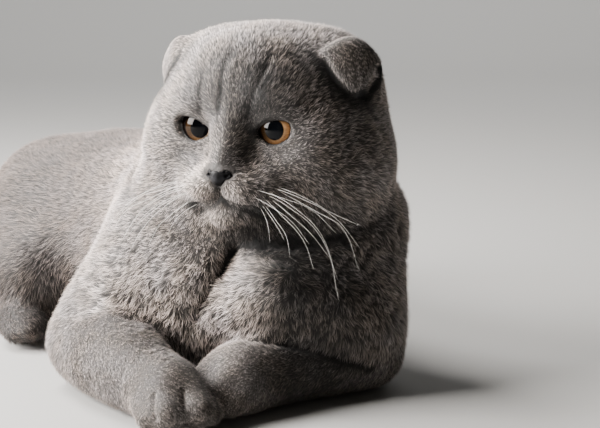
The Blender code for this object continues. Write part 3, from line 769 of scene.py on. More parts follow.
def shapeSkin(skin):
    mesh = skin.data
    points, edges = pointsOf(mesh), edgesOf(mesh)
    kinds = list(coatByNode)
    shares = nodeShares(points, edges, 4)
    faceWay = fromHead([(0, -0.046, -0.006)])[0]
    onFace = 1 - ramp(np.linalg.norm(points - faceWay, axis=1), 0.6 * skinSet["faceReach"], skinSet["faceReach"])
    hold = np.maximum(onFace, skinSet["earHold"] * np.minimum(1.5 * shares[:, kinds.index("ear")], 1))
    hold = np.maximum(hold, skinSet["pawHold"] * shares[:, kinds.index("forepaw")])
    hold = np.maximum(hold, skinSet["pawHold"] * shares[:, kinds.index("hind_foot")])
    points = spread(points, edges, skinSet["faceRounds"], hold=0.5 + 0.3 * hold)
    points = spread(points, edges, skinSet["bodyRounds"], hold=hold)
    points = spread(fillCorners(points), edges, 3, hold=0.5)
    # the hollows of the nostrils close in the skin, which the leather covers
    points = spread(points, edges, 20, hold=ramp(noseDistance(points)[0], 1.5 * mm, 4.0 * mm))
    setPoints(mesh, points)
    shares = nodeShares(points, edges, 12)
    depth = coatValues(points, shares)[:, 1] * mm
    # the skin stays out at the lids and at the nose leather
    eyeAway = eyeDistance(points) - eyeSet["radius"]
    depth *= 0.12 + 0.88 * ramp(eyeAway, 2 * mm, 7 * mm)
    noseAway, noseOver = noseDistance(points)
    depth *= 0.15 + 0.85 * ramp(noseAway, 1 * mm, 6 * mm)
    depth = spread(depth, edges, 8)
    depth += 1.5 * mm * (1 - ramp(eyeAway, 1.0 * mm, 2.0 * mm))
    depth += 1.8 * mm * (1 - ramp(noseAway, 0.6 * mm, 1.3 * mm)) * ramp(np.abs(noseOver), 0.3, 0.7)
    points -= normalsOf(mesh) * depth[:, None]
    points = spread(points, edges, 4, hold=np.maximum(hold, 0.3))
    setPoints(mesh, points)
    # the folds, the partings of the coat and the line between the lips
    pull = foldPull(points, foldLines(skin), shares[:, kinds.index("ear")])[0]
    pull += 1.1 * mm * coatBreaks(points)
    normals = normalsOf(mesh)
    lips = lipDistance(points + (0, 0, lipSet["below"]))
    corner = ramp(np.abs(toHead(points)[:, 0]), lipSet["corner"] - 6 * mm, lipSet["corner"])
    pull += lipSet["depth"] * (1 - 0.8 * corner) * np.exp(-((lips / lipSet["reach"]) ** 2))
    points -= normals * pull[:, None]
    points[:, 2] = np.maximum(points[:, 2], 0.3 * mm)
    setPoints(mesh, points)
    applyModifier(skin, "DECIMATE", ratio=skinSet["triangles"] / (2 * len(mesh.polygons)))
    makeActive(skin)
    bpy.ops.object.mode_set(mode="EDIT")
    bpy.ops.mesh.select_all(action="SELECT")
    bpy.ops.mesh.quads_convert_to_tris()
    bpy.ops.uv.smart_project(angle_limit=math.radians(66), island_margin=0.002)
    bpy.ops.object.mode_set(mode="OBJECT")
    skin.data.uv_layers[0].name = "OFBake"
    bpy.ops.object.shade_smooth()


def headFlow(points, normals):
    # away from the nose, up over the brow and back over the cheeks, then down behind the ears
    local = toHead(points) / mm
    flow = unit(local - (0, -74, -10))
    behind = ramp(local[:, 1], 0, 40)[:, None]
    flow = flow * (1 - behind) + np.array((0, 0.35, -1.0)) * behind
    flow[:, 2] -= 0.7 * ramp(local[:, 2], -8, -45)
    for place in eyePlaces.values():
        centre = toHead(place[None])[0] / mm
        away = local - centre
        near = (1 - ramp(np.linalg.norm(away, axis=1), 13, 22))[:, None]
        flow = flow + 0.9 * unit(away) * near
    return flow @ headAxes.T


def earFlow(points, normals):
    # round the fold, from the root over the ridge to the tip
    side = np.sign(toHead(points)[:, 0])[:, None]
    ridge = np.concatenate([0.73 * side, np.full_like(side, 0.67), np.full_like(side, -0.12)], axis=1)
    return np.cross(ridge, normals @ headAxes) * side @ headAxes.T


def trunkFlow(points, normals):
    # back along the spine and down the flanks, straight down in front of the chest
    front = np.clip(-normals[:, 1], 0, 1)
    top = np.clip(normals[:, 2], 0, 1)
    down = (0.5 + 0.6 * front) * (1 - 0.7 * top)
    return np.stack([0 * down, 1.05 - front, -down], axis=1)


def sameWay(x, y, z):
    return lambda points, normals: np.tile((x, y, z), (len(points), 1)).astype(float)


def forelegFlow(points, normals):
    # the right foreleg points ahead, the left one lies across
    across = ramp(points[:, 0], -0.066, -0.050) * ramp(points[:, 1], -0.100, -0.125)
    ahead = np.array((-0.10, -1.0, -0.25))
    over = np.array((-1.0, -0.16, -0.25))
    return ahead * (1 - across[:, None]) + over * across[:, None]


tailRoute = (
    (-0.002, 0.178, 0.060), (0.000, 0.204, 0.046), (0.012, 0.226, 0.029), (0.036, 0.238, 0.018),
    (0.066, 0.236, 0.017), (0.094, 0.220, 0.017), (0.113, 0.192, 0.016), (0.122, 0.156, 0.016),
    (0.123, 0.120, 0.015), (0.118, 0.070, 0.014),
)


def tailFlow(points, normals):
    route = np.array(tailRoute)
    middles = (route[1:] + route[:-1]) / 2
    ways = unit(route[1:] - route[:-1])
    nearness = 1 / (np.linalg.norm(points[:, None] - middles[None], axis=2) ** 4 + 1e-12)
    return unit(nearness @ ways)


flowByKind = {
    "head": headFlow,
    "ear": earFlow,
    "neck": trunkFlow,
    "torso": trunkFlow,
    "upper_arm": sameWay(0.0, 0.25, -1.0),
    "forearm": forelegFlow,
    "forepaw": forelegFlow,
    "thigh": sameWay(0.0, 0.75, -0.65),
    "hind_foot": sameWay(0.0, -1.0, -0.15),
    "tail": tailFlow,
}


def alongSkin(vectors, normals):
    return vectors - normals * (vectors * normals).sum(axis=1)[:, None]


def coatLie(points, normals, edges, shares):
    lie = np.zeros_like(points)
    for kind, share in zip(coatByNode, shares.T):
        lie += unit(alongSkin(flowByKind[kind](points, normals), normals)) * share[:, None]
    for _ in range(6):
        lie = unit(alongSkin(spread(lie, edges, 4), normals))
    return lie


# how much darker the body behind the shoulders is and over which span of y, how much paler the forelegs are, and how
# strong the painted light and shade across the breast are
bodyTone = {"dark": 0.73, "from": (-0.07, 0.09), "legs": 0.15, "breast": 0.36}


def markingsLightAndShade(points, earShare, foldDark, dots):
    # -1 is the darkest coat, 1 the palest
    local = toHead(points) / mm
    x, y, z = np.abs(local[:, 0]), local[:, 1], local[:, 2]
    ahead = ramp(y, -18, -34)
    # the pads beside the nose, the bridge and the chin are pale, and so are the lids' outer ends
    pads = np.linalg.norm(np.stack([x - 12, y + 63, z + 22], axis=1), axis=1)
    mark = 1.05 * ahead * (1 - ramp(pads, 7, 18))
    mark += 0.20 * ahead * (1 - ramp(np.linalg.norm(local - (0, -60, -42), axis=1), 6, 16))
    mark += 0.10 * ahead * (1 - ramp(np.linalg.norm(local - (0, -58, 0), axis=1), 6, 18))
    # the brow is darker than the cheeks, by its own tone and by painted shade on the front of the forehead, and the
    # breast and forelegs are paler than the back, with painted light and shade across the breast
    mark -= 0.42 * ahead * (1 - ramp(np.linalg.norm(local - (0, -46, 26), axis=1), 14, 36))
    mark -= 0.15 * ahead
    outer = np.linalg.norm(np.stack([x - 36, y + 40, z - 3], axis=1), axis=1)
    mark += 0.35 * (1 - ramp(outer, 3, 9))
    # dark at the lids, along the lips, in the folds and partings and at the roots of the whiskers: partly their own
    # colour, partly painted shade
    eyeAway = eyeDistance(points) - eyeSet["radius"]
    # the lids' dark skin, tear stain and painted shade round the inner part of each eye
    mark -= 0.9 * (1 - ramp(x, 27, 30)) * (1 - ramp(eyeAway, 0.6 * mm, 1.9 * mm)) * ahead
    mark -= 1.2 * (1 - ramp(eyeAway, 0.4 * mm, 1.1 * mm))
    # the dark lip line, with painted shadow under the overhanging pads
    mark -= 1.9 * np.exp(-((lipDistance(points + (0, 0, lipSet["below"])) / (2.5 * mm)) ** 2))
    # painted shade along the folds, and the brow's dark stripes
    mark -= 1.5 * foldDark
    # painted shade in the partings of the breast's coat
    mark -= 0.80 * coatBreaks(points)
    mark -= bodyTone["dark"] * ramp(points[:, 1], *bodyTone["from"])
    front = ramp(points[:, 1], -0.07, -0.11)
    mark += bodyTone["legs"] * ramp(points[:, 2], 0.070, 0.050) * front
    # painted light and shade on the breast: paler on the side toward the window, darker on the side away from it
    breast = ramp(points[:, 2], 0.115, 0.095) * front
    breast *= 1 - 2.7 * ramp(points[:, 0], -0.046, -0.016) + 1.5 * ramp(points[:, 0], 0.000, 0.045)
    mark += bodyTone["breast"] * breast
    for dot in dots:
        away = np.linalg.norm(points - dot, axis=1)
        mark -= whiskerDots["dark"] * 1.4 * np.exp(-((away / (whiskerDots["radius"] * mm)) ** 2))
    rim = np.min([lineDistance(points, line) for line in earRims], axis=0)
    mark += earRim["pale"] * np.exp(-((rim / (earRim["reach"] * mm)) ** 2)) * ramp(earShare, 0.3, 0.7)
    return np.clip(mark, -1, 1)


def addAttribute(mesh, name, values):
    mesh.attributes.new(name, "FLOAT", "POINT").data.foreach_set("value", values.astype(np.float32))


# coat

tuftSet = {
    "most": 47000,
    "sink": 0.35,
    "patch": 0.003,
    "quickShare": 0.3,
    "softNormal": 0.50,
    "stray": 0.20,
    "lock": 1.5 * mm,
    "lessBelow": 0.5,
    "headContrast": 1.5,
    "bodyContrast": 0.50,
    "fuzzShare": 0.10,
    "fuzzLift": 1.45,
    "fuzzWidth": 0.6,
}


def growCoat(skin):
    mesh = skin.data
    points, normals, edges = pointsOf(mesh), normalsOf(mesh), edgesOf(mesh)
    kinds = list(coatByNode)
    shares = nodeShares(points, edges, 6)
    values = coatValues(points, shares)
    lie = coatLie(points, normals, edges, shares)
    lines = foldLines(skin)
    dots = drawnOn(skinTree(skin), whiskerDots["at"], False)[0]
    earShare = shares[:, kinds.index("ear")]
    addAttribute(mesh, "markingLightAndShade", markingsLightAndShade(points, earShare, foldPull(points, lines, earShare)[1], dots))
    say("lie of the coat set")

    count = len(mesh.polygons)
    corners = np.empty(count * 3, np.int32)
    mesh.polygons.foreach_get("vertices", corners)
    corners = corners.reshape(-1, 3)
    uvs = np.empty(count * 6, np.float32)
    mesh.uv_layers["OFBake"].data.foreach_get("uv", uvs)
    uvs = uvs.reshape(-1, 3, 2)
    a, b, c = (points[corners[:, k]] for k in range(3))
    area = np.linalg.norm(np.cross(b - a, c - a), axis=1) / 2 / mm**2
    density = values[corners, 3].mean(axis=1)
    density *= 1 - tuftSet["lessBelow"] * ramp(-normals[corners, 2].mean(axis=1), 0.3, 0.8)
    middle = (a + b + c) / 3
    bare = (middle[:, 2] < 2.0 * mm) | (eyeDistance(middle) < eyeSet["radius"] + 0.7 * mm)
    noseAway, noseOver = noseDistance(middle)
    bare |= (noseAway < 1.0 * mm) & (noseOver > 0.4)
    bare |= (noseAway < 4.0 * mm) & (noseOver < -0.4)
    share = 1.0
    wanted = np.where(bare, 0, area * density * share)
    number = np.floor(wanted + rng.random(count)).astype(int)
    faces = np.repeat(np.arange(count), number)
    first, second = rng.random(len(faces)), rng.random(len(faces))
    over = first + second > 1
    first[over], second[over] = 1 - first[over], 1 - second[over]
    weights = np.stack([1 - first - second, first, second], axis=1)

    def at(field):
        picked = field[corners[faces]]
        return (picked * weights.reshape(weights.shape + (1,) * (picked.ndim - 2))).sum(axis=1)

    root, normal, way = at(points), unit(at(normals)), at(lie)
    way = unit(alongSkin(way, normal))
    length, height, width, _, wave = at(values).T
    dark = foldPull(root, lines, at(earShare))[1]
    mark = markingsLightAndShade(root, at(earShare), dark, dots)
    height = height * (1 - 0.55 * np.clip(dark, 0, 1)) * (1 - 0.5 * coatBreaks(root))
    lips = 1 - ramp(lipDistance(root), 1.5 * mm, 5.0 * mm)
    lips *= 1 - ramp(np.abs(toHead(root)[:, 0]), lipSet["corner"] - 6 * mm, lipSet["corner"])
    height, length = height * (1 - 0.6 * lips), length * (1 - 0.5 * lips)
    place = (uvs[faces] * weights[:, :, None]).sum(axis=1)
    kind = shares[corners[faces, 0]].argmax(axis=1)
    return root, normal, way, length * mm, height * mm, width * mm, wave, mark, place, kind


def shapeTufts(tufts):
    root, normal, way, length, height, width, wave, mark, place, kind = tufts
    size = len(root)
    across = np.cross(normal, way)
    broad, broadSlope = ripple(root, 26 * mm, 3)
    fine, fineSlope = ripple(root, 8 * mm, 5)
    tiny, tinySlope = ripple(root, 3 * mm, 7)
    turn = wave * (0.55 * broad + 0.5 * fine + 0.6 * tiny) + rng.normal(0, tuftSet["stray"], size)
    way = way * np.cos(turn)[:, None] + across * np.sin(turn)[:, None]
    length = length * (1 + 0.14 * fine * wave / 0.3 + rng.uniform(-0.25, 0.15, size))
    lock = ripple(root, tuftSet["lock"], 9)[0]
    lift = 0.80 + 0.12 * fine * wave / 0.3 + 0.20 * lock + rng.uniform(-0.25, 0.20, size)
    fuzzy = rng.random(size) < tuftSet["fuzzShare"]
    lift = np.where(fuzzy, lift * tuftSet["fuzzLift"], lift)
    width = np.where(fuzzy, width * tuftSet["fuzzWidth"], width)
    height = height * np.clip(lift, 0.2, 1.5)
    # tips lean together into small locks
    gather = alongSkin(fineSlope * 0.7 + tinySlope * 0.5, normal) * (wave * length * 0.55)[:, None]
    reach = np.sqrt(np.maximum(length**2 - height**2, (0.3 * length) ** 2))
    tip = root + way * reach[:, None] + normal * height[:, None] - gather
    low = root - normal * (tuftSet["sink"] * mm)
    spine = unit(tip - low)
    side = unit(np.cross(normal, spine))
    rise = np.cross(spine, side)
    start = rng.uniform(0, 2 * math.pi, size)
    points = np.empty((size, 4, 3))
    facing = np.empty((size, 4, 3))
    for k in range(3):
        angle = start + 2 * math.pi * k / 3
        out = side * np.cos(angle)[:, None] + rise * np.sin(angle)[:, None]
        points[:, k] = low + out * width[:, None]
        facing[:, k] = unit(out * (1 - tuftSet["softNormal"]) + normal * tuftSet["softNormal"])
    points[:, 3] = tip
    facing[:, 3] = unit(normal + 0.3 * spine)
    points = np.clip(points, np.array(cadBox[0]) + (0, 0, 0.1 * mm), np.array(cadBox[1]))
    onBody = kind > list(coatByNode).index("neck")
    contrast = np.where(onBody, tuftSet["bodyContrast"], tuftSet["headContrast"])
    tone = np.clip(0.42 + contrast * (0.36 * lock + rng.uniform(-0.30, 0.30, size)), 0, 1) ** 1.4
    return points, facing, tone


def buildTufts(name, points, facing, mark, tone, place, material):
    size = len(points)
    mesh = bpy.data.meshes.new(name)
    pattern = np.array(((0, 1, 3), (1, 2, 3), (2, 0, 3), (0, 2, 1)))
    corners = (np.arange(size)[:, None, None] * 4 + pattern).reshape(-1)
    mesh.vertices.add(size * 4)
    mesh.vertices.foreach_set("co", points.astype(np.float32).ravel())
    mesh.loops.add(len(corners))
    mesh.loops.foreach_set("vertex_index", corners.astype(np.int32))
    mesh.polygons.add(len(corners) // 3)
    mesh.polygons.foreach_set("loop_start", np.arange(0, len(corners), 3, dtype=np.int32))
    mesh.update(calc_edges=True)
    half = tuftSet["patch"] / 2
    shape = np.array(((-half, -half), (half, -half), (0, -half * 0.6), (0, half)))
    uv = (place[:, None] + shape[None]).reshape(-1, 2)[corners]
    layer = mesh.uv_layers.new(name="OFBake")
    layer.data.foreach_set("uv", uv.astype(np.float32).ravel())
    addAttribute(mesh, "markingLightAndShade", np.repeat(mark, 4))
    addAttribute(mesh, "tone", np.repeat(tone, 4))
    addAttribute(mesh, "along", np.tile((0.0, 0.0, 0.0, 1.0), size))
    mesh.materials.append(material)
    mesh.polygons.foreach_set("use_smooth", np.ones(len(corners) // 3, bool))
    mesh.normals_split_custom_set_from_vertices(facing.reshape(-1, 3))
    mesh.validate()
    piece = bpy.data.objects.new(name, mesh)
    bpy.context.scene.collection.objects.link(piece)
    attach(piece, "root")
    return piece


coatGroups = {
    "coatHead": ("head",),
    "coatEars": ("ear",),
    "coatNeck": ("neck",),
    "coatBody": ("torso",),
    "coatArms": ("upper_arm",),
    "coatForelegs": ("forearm", "forepaw"),
    "coatThighs": ("thigh",),
    "coatHindFeet": ("hind_foot",),
    "coatTail": ("tail",),
}


def makeCoat(skin):
    tufts = growCoat(skin)
    mark, place, kind = tufts[7:]
    points, facing, tone = shapeTufts(tufts)
    material = coatMaterial("plushCoat", True)
    kinds = list(coatByNode)
    total = 0
    for group, members in coatGroups.items():
        chosen = np.flatnonzero(np.isin(kind, [kinds.index(m) for m in members]))
        parts = max(1, math.ceil(len(chosen) / tuftSet["most"]))
        for number, part in enumerate(np.array_split(chosen, parts), 1):
            buildTufts(
                f"{group}{number}", points[part], facing[part], mark[part], tone[part], place[part], material
            )
        total += len(chosen)
        say(f"{group}: {len(chosen)} tufts in {parts} pieces")
    say(f"{total} tufts, {total * 4} triangles")


# eyes

irisSet = {
    "irisRadius": 0.0088,
    "pupilWide": 0.0051,
    "pupilTall": 0.0056,
    "bulge": 0.0004,
    "hollow": 0.0070,
    "amber": (0.210, 0.128, 0.062),
    "copper": (0.105, 0.052, 0.024),
    "rim": (0.02, 0.010, 0.006),
    # painted shade at the top of the iris, under the upper lid
    "lidShade": (0.0024, 0.0052),
    # painted light and shade across the iris: the side away from the window brightened, the side toward it darkened
    "sideShade": (-0.0080, 0.0075),
    "paintedSideLight": 4.2,
    "sideLow": {"amberEyeRight": 0.34, "amberEyeLeft": 0.06},
    # where each eye looks, in the head's own frame: degrees to the cat's left, degrees up
    "gaze": {"right": (19.0, -2.0), "left": (14.5, 4.0)},
}


def gazeMatrix(name):
    left, up = irisSet["gaze"][name]
    return (
        Matrix.Translation(eyePlaces[name])
        @ Matrix.Rotation(math.radians(headSet["turn"]), 4, "Z")
        @ Matrix.Rotation(math.radians(headSet["nod"]), 4, "X")
        @ Matrix.Rotation(math.radians(left), 4, "Z")
        @ Matrix.Rotation(math.radians(-up), 4, "X")
    )


def eyeMaterial(name, matrix):
    material, tree, shader = nodeMaterial(name)
    place = addNode(tree, "ShaderNodeTexCoord").outputs["Object"]
    # the pattern's own frame: the eye's centre at the origin and its axis along y
    turned = addNode(tree, "ShaderNodeVectorMath", {0: place}, operation="SUBTRACT")
    turned.inputs[1].default_value = matrix.translation
    own = addNode(tree, "ShaderNodeMapping", {"Vector": turned.outputs["Vector"]})
    own.inputs["Rotation"].default_value = matrix.to_3x3().inverted().to_euler()
    split = addNode(tree, "ShaderNodeSeparateXYZ", {"Vector": own.outputs["Vector"]})
    x, z = split.outputs["X"], split.outputs["Z"]

    def math2(kind, first, second):
        node = addNode(tree, "ShaderNodeMath", operation=kind)
        for k, value in enumerate((first, second)):
            if isinstance(value, float):
                node.inputs[k].default_value = value
            elif value is not None:
                tree.links.new(value, node.inputs[k])
        return node.outputs["Value"]

    def ring(wide, tall):
        u, v = math2("DIVIDE", x, wide), math2("DIVIDE", z, tall)
        return math2("SQRT", math2("ADD", math2("MULTIPLY", u, u), math2("MULTIPLY", v, v)), None)

    out = ring(irisSet["irisRadius"], irisSet["irisRadius"])
    angle = math2("ARCTAN2", z, x)
    spokes = addNode(tree, "ShaderNodeCombineXYZ")
    tree.links.new(math2("MULTIPLY", math2("SINE", angle, None), 5.0), spokes.inputs["X"])
    tree.links.new(math2("MULTIPLY", math2("COSINE", angle, None), 5.0), spokes.inputs["Y"])
    tree.links.new(math2("MULTIPLY", out, 1.2), spokes.inputs["Z"])
    fibres = addNode(tree, "ShaderNodeTexNoise", {"Vector": spokes.outputs["Vector"]}, Scale=4.0, Detail=5.0)
    shaded = colourRamp(tree, fibres.outputs["Fac"], ((0.3, irisSet["copper"]), (0.7, irisSet["amber"])))
    depth = colourRamp(tree, out, (
        (0.0, (0.6, 0.6, 0.6)), (0.62, (1.0, 1.0, 1.0)), (0.84, (0.85, 0.7, 0.55)), (0.96, irisSet["rim"])))
    tinted = addNode(tree, "ShaderNodeMix", {6: shaded, 7: depth}, data_type="RGBA", blend_type="MULTIPLY")
    tinted.inputs[0].default_value = 1.0
    # painted shade: the top of the iris is dark under the upper lid
    shade = addNode(tree, "ShaderNodeMapRange", {"Value": z})
    shade.inputs["From Min"].default_value, shade.inputs["From Max"].default_value = irisSet["lidShade"]
    shade.inputs["To Min"].default_value, shade.inputs["To Max"].default_value = 1.0, 0.2
    # painted light and shade: the side of the iris away from the window is brightened, as light through the clear
    # front would fall there, and the side toward the window darkened
    side = addNode(tree, "ShaderNodeMapRange", {"Value": x})
    side.inputs["From Min"].default_value, side.inputs["From Max"].default_value = irisSet["sideShade"]
    across = math2("POWER", side.outputs["Result"], 2.2)
    across = math2("ADD", math2("MULTIPLY", across, irisSet["paintedSideLight"]), irisSet["sideLow"][name])
    shades = math2("MULTIPLY", shade.outputs["Result"], across)
    tinted = addNode(tree, "ShaderNodeVectorMath", {0: tinted.outputs[2], "Scale": shades}, operation="SCALE")
    hole = addNode(tree, "ShaderNodeMapRange", {"Value": ring(irisSet["pupilWide"], irisSet["pupilTall"])})
    hole.inputs["From Min"].default_value, hole.inputs["From Max"].default_value = 0.94, 1.03
    lens = addNode(tree, "ShaderNodeMix", {0: hole.outputs["Result"], 7: tinted.outputs["Vector"]}, data_type="RGBA")
    lens.inputs[6].default_value = (0.0015, 0.0018, 0.0025, 1)
    tree.links.new(lens.outputs[2], shader.inputs["Base Color"])
    # the iris is a shallow cup under the clear front of the eye
    cup = addNode(tree, "ShaderNodeBump", Strength=1.0, Distance=irisSet["hollow"])
    tree.links.new(math2("MULTIPLY", out, out), cup.inputs["Height"])
    bump = addNode(tree, "ShaderNodeBump", {"Height": fibres.outputs["Fac"]}, Strength=0.25, Distance=0.0004)
    tree.links.new(cup.outputs["Normal"], bump.inputs["Normal"])
    tree.links.new(bump.outputs["Normal"], shader.inputs["Normal"])
    shader.inputs["Specular IOR Level"].default_value = 0.0
    shader.inputs["Roughness"].default_value = 0.6
    shader.inputs["Coat Weight"].default_value = 0.38
    shader.inputs["Coat Roughness"].default_value = 0.02
    shader.inputs["Coat IOR"].default_value = 1.38
    return material


def makeEye(name):
    deselectAll()
    bpy.ops.mesh.primitive_uv_sphere_add(segments=64, ring_count=40, radius=eyeSet["radius"] - 0.1 * mm)
    eye = bpy.context.object
    eye.name = eye.data.name = "eye" + name.capitalize()
    # the sphere's pole faces forward, and the cornea stands a little proud
    points = pointsOf(eye.data)
    points = np.stack([points[:, 0], -points[:, 2], points[:, 1]], axis=1)
    ahead = ramp(-points[:, 1] / eyeSet["radius"], 0.45, 1.0)
    points[:, 1] -= irisSet["bulge"] * ahead
    matrix = gazeMatrix(name)
    points = points @ np.array(matrix.to_3x3()).T + np.array(matrix.translation)
    setPoints(eye.data, points)
    bpy.ops.object.shade_smooth()
    eye.data.materials.append(eyeMaterial("amberEye" + name.capitalize(), matrix))
    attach(eye, "root")
    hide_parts("eye_" + name)


lidSet = {
    "thick": 0.55 * mm,
    "upperThick": 1.7,
    "upperDrop": 0.7 * mm,
    "standOff": 0.35 * mm,
    "steps": 20,
    "colour": (0.010, 0.007, 0.006),
}


def makeLidRim(side, name):
    # the bare dark margin of the lids, lying on the eyeball round its opening
    ring = []
    radius = eyeSet["radius"] + lidSet["standOff"]
    steps = lidSet["steps"]
    for k in range(2 * steps):
        angle = math.pi * k / steps
        reach = eyeSet["outerReach"] if math.cos(angle) > 0 else eyeSet["innerReach"]
        tall = eyeSet["upperHeight"] - lidSet["upperDrop"] if math.sin(angle) > 0 else eyeSet["lowerHeight"]
        narrow = abs(math.sin(angle)) ** (1.0 if math.cos(angle) > 0 else 1.35)
        x = side * reach * math.cos(angle) * 0.93
        z = math.copysign(narrow, math.sin(angle)) * tall
        flat = math.hypot(x, z)
        if flat > 0.97 * radius:
            x, z = x * 0.97 * radius / flat, z * 0.97 * radius / flat
        y = -math.sqrt(radius**2 - x**2 - z**2)
        place = eyeMatrix(side) @ Vector((x, y, z))
        ring.append((place, 1 + (lidSet["upperThick"] - 1) * max(0.0, math.sin(angle))))
    curve = bpy.data.curves.new("lids" + name.capitalize(), "CURVE")
    curve.dimensions = "3D"
    curve.bevel_depth = lidSet["thick"]
    curve.bevel_resolution = 3
    spline = curve.splines.new("NURBS")
    spline.points.add(len(ring) - 1)
    for point, (place, thick) in zip(spline.points, ring):
        point.co = (*place, 1)
        point.radius = thick
    spline.use_cyclic_u = True
    spline.order_u = 3
    spline.resolution_u = 3
    thing = bpy.data.objects.new(curve.name, curve)
    bpy.context.scene.collection.objects.link(thing)
    makeActive(thing)
    bpy.ops.object.convert(target="MESH")
    thing = bpy.context.object
    bpy.ops.object.shade_smooth()
    thing.data.materials.clear()
    material = plainMaterial("lidSkin" + name.capitalize(), lidSet["colour"], 0.5)
    thing.data.materials.append(material)
    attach(thing, "root")


# nose leather

# The nostrils run along the wings of the nose, as places in the picture; each has its twin.
noseSet = {
    "dark": (0.002, 0.002, 0.0025),
    "pale": (0.014, 0.014, 0.017),
    # painted shade inside the nostrils
    "hole": (0.0012, 0.0012, 0.0012),
    "grain": 0.30 * mm,
    "nostril": ((226.5, 176), (230, 175), (234.5, 172.5)),
    "nostrilDepth": 2.2 * mm,
    "nostrilReach": 0.85 * mm,
    "groove": ((219, 178), (219, 186)),
    "grooveDepth": 0.5 * mm,
    "grooveReach": 0.5 * mm,
    "tuck": 1.6 * mm,
}


def makeNose():
    nose = nodeCopy("nose")
    nose.name = nose.data.name = "noseLeather"
    applyModifier(nose, "REMESH", mode="VOXEL", voxel_size=noseSet["grain"], use_smooth_shade=True)
    mesh = nose.data
    points, edges = pointsOf(mesh), edgesOf(mesh)
    points = spread(points, edges, 8, hold=0.4)
    setPoints(mesh, points)
    tree = skinTree(nose)
    nostrils = drawnOn(tree, noseSet["nostril"], True)
    groove = drawnOn(tree, noseSet["groove"], False)[0]
    groove = fromHead(toHead(groove) * (0, 1, 1))
    away = np.min([lineDistance(points, line) for line in nostrils], axis=0)
    hole = np.exp(-((away / noseSet["nostrilReach"]) ** 2))
    pull = noseSet["nostrilDepth"] * hole
    pull += noseSet["grooveDepth"] * np.exp(-((lineDistance(points, groove) / noseSet["grooveReach"]) ** 2))
    pull += noseSet["tuck"] * (1 - leatherShare(points))
    points -= normalsOf(mesh) * pull[:, None]
    setPoints(mesh, points)
    addAttribute(mesh, "hollow", hole)
    makeActive(nose)
    bpy.ops.object.shade_smooth()
    material, tree, shader = nodeMaterial("noseLeather")
    place = addNode(tree, "ShaderNodeTexCoord").outputs["Object"]
    pebbles = addNode(tree, "ShaderNodeTexVoronoi", {"Vector": place}, Scale=2200.0)
    cloud = addNode(tree, "ShaderNodeTexNoise", {"Vector": place}, Scale=260.0, Detail=3.0)
    colour = colourRamp(tree, cloud.outputs["Fac"], ((0.35, noseSet["dark"]), (0.75, noseSet["pale"])))
    # the nostrils' hollows are painted near black: painted shade inside them
    hollow = addNode(tree, "ShaderNodeAttribute", attribute_name="hollow").outputs["Fac"]
    shadedNostrils = addNode(tree, "ShaderNodeMix", {0: hollow, 6: colour}, data_type="RGBA")
    shadedNostrils.inputs[7].default_value = (*noseSet["hole"], 1)
    tree.links.new(shadedNostrils.outputs[2], shader.inputs["Base Color"])
    bump = addNode(tree, "ShaderNodeBump", {"Height": pebbles.outputs["Distance"]}, Strength=0.6, Distance=0.0002)
    tree.links.new(bump.outputs["Normal"], shader.inputs["Normal"])
    shader.inputs["Specular IOR Level"].default_value = 0.20
    shader.inputs["Roughness"].default_value = 0.42
    nose.data.materials.clear()
    nose.data.materials.append(material)
    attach(nose, "root")
    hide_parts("nose")


# whiskers

# Each whisker of the near pad as places in the picture, from its root to its tip. The tips hang
# nearer to the camera than the roots, clear of the cheek.
whiskerSet = {
    "thick": 0.085 * mm,
    "thin": 0.030 * mm,
    "sink": 1.5 * mm,
    "nearer": 13.0 * mm,
    "colour": (0.86, 0.84, 0.80),
    "through": (
        ((277, 190), (317, 212), (342, 228), (359, 270)),
        ((276, 186), (301, 196), (336, 215), (361, 226)),
        ((271, 187), (300, 198), (334, 217), (360, 248)),
        ((268, 192), (292, 206), (322, 236), (339, 301)),
        ((266, 194), (287, 206), (318, 233), (338, 280)),
        ((264, 198), (281, 215), (303, 240), (314, 270)),
        ((271, 199), (289, 214), (311, 234), (329, 257)),
        ((262, 205), (272, 219), (279, 230), (284, 240)),
        ((265, 205), (277, 222), (286, 236), (290, 257)),
        ((260, 207), (265, 217), (268, 226), (270, 242)),
        ((254, 189), (282, 198), (310, 209), (336, 233)),
        ((252, 196), (270, 206), (292, 222), (309, 244)),
    ),
}


def whiskerPaths(skin):
    tree = skinTree(skin)
    paths = []
    for places in whiskerSet["through"]:
        camera, way = sightThrough(*places[0])
        root = tree.ray_cast(camera, way)[0]
        away = (root - camera).length
        path = [root + way * whiskerSet["sink"]]
        for step, place in enumerate(places[1:], 1):
            sight = sightThrough(*place)[1]
            share = (step / (len(places) - 1)) ** 0.8
            path.append(camera + sight * (away - whiskerSet["nearer"] * share))
        path = np.array(path)
        paths.append(path)
        # the other pad's whisker mirrors it across the head, root and all
        crossed = fromHead(toHead(path) * (-1, 1, 1))
        paths.append(crossed)
    return paths


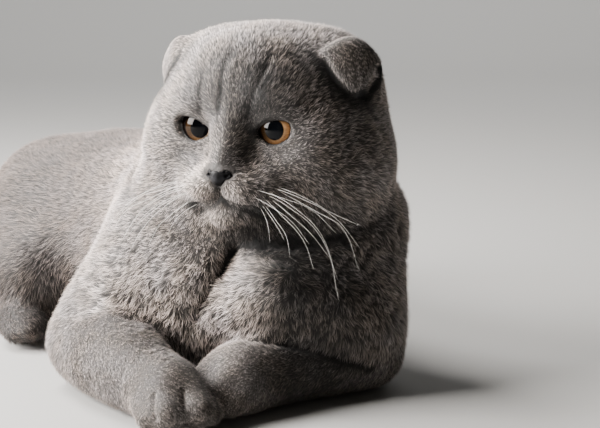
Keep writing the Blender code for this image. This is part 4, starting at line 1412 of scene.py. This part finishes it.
def makeWhiskers(skin):
    curve = bpy.data.curves.new("whiskers", "CURVE")
    curve.dimensions = "3D"
    curve.bevel_depth = whiskerSet["thick"]
    curve.bevel_resolution = 1
    curve.use_fill_caps = True
    for path in whiskerPaths(skin):
        spline = curve.splines.new("BEZIER")
        spline.bezier_points.add(len(path) - 1)
        taper = np.linspace(1.0, whiskerSet["thin"] / whiskerSet["thick"], len(path))
        for point, place, radius in zip(spline.bezier_points, path, taper):
            point.co = place
            point.radius = radius
            point.handle_left_type = point.handle_right_type = "AUTO"
        spline.resolution_u = 8
    thing = bpy.data.objects.new("whiskers", curve)
    bpy.context.scene.collection.objects.link(thing)
    makeActive(thing)
    bpy.ops.object.convert(target="MESH")
    thing = bpy.context.object
    bpy.ops.object.mode_set(mode="EDIT")
    bpy.ops.mesh.select_all(action="SELECT")
    bpy.ops.mesh.remove_doubles(threshold=0.005 * mm)
    bpy.ops.mesh.normals_make_consistent(inside=False)
    bpy.ops.object.mode_set(mode="OBJECT")
    bpy.ops.object.shade_smooth()
    thing.data.materials.clear()
    material, tree, shader = nodeMaterial("whiskerHorn")
    place = addNode(tree, "ShaderNodeTexCoord").outputs["Object"]
    streaks = addNode(tree, "ShaderNodeTexNoise", {"Vector": place}, Scale=150.0, Detail=2.0)
    colour = colourRamp(tree, streaks.outputs["Fac"], (
        (0.3, tuple(0.8 * part for part in whiskerSet["colour"])), (0.7, whiskerSet["colour"])))
    tree.links.new(colour, shader.inputs["Base Color"])
    shader.inputs["Roughness"].default_value = 0.4
    thing.data.materials.append(material)
    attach(thing, "root")


# putting it together

addCamera()
addStudio()
say("camera and studio ready")
skin = makeSkin()
shapeSkin(skin)
skin.data.materials.append(coatMaterial("coatSkin", False))
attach(skin, "root")
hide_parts(*fleshNodes)
say(f"skin of {len(skin.data.polygons)} faces")
for sideName, sideSign in sides.items():
    makeEye(sideName)
    makeLidRim(sideSign, sideName)
makeNose()
makeWhiskers(skin)
say("eyes, lids, nose and whiskers made")
makeCoat(skin)
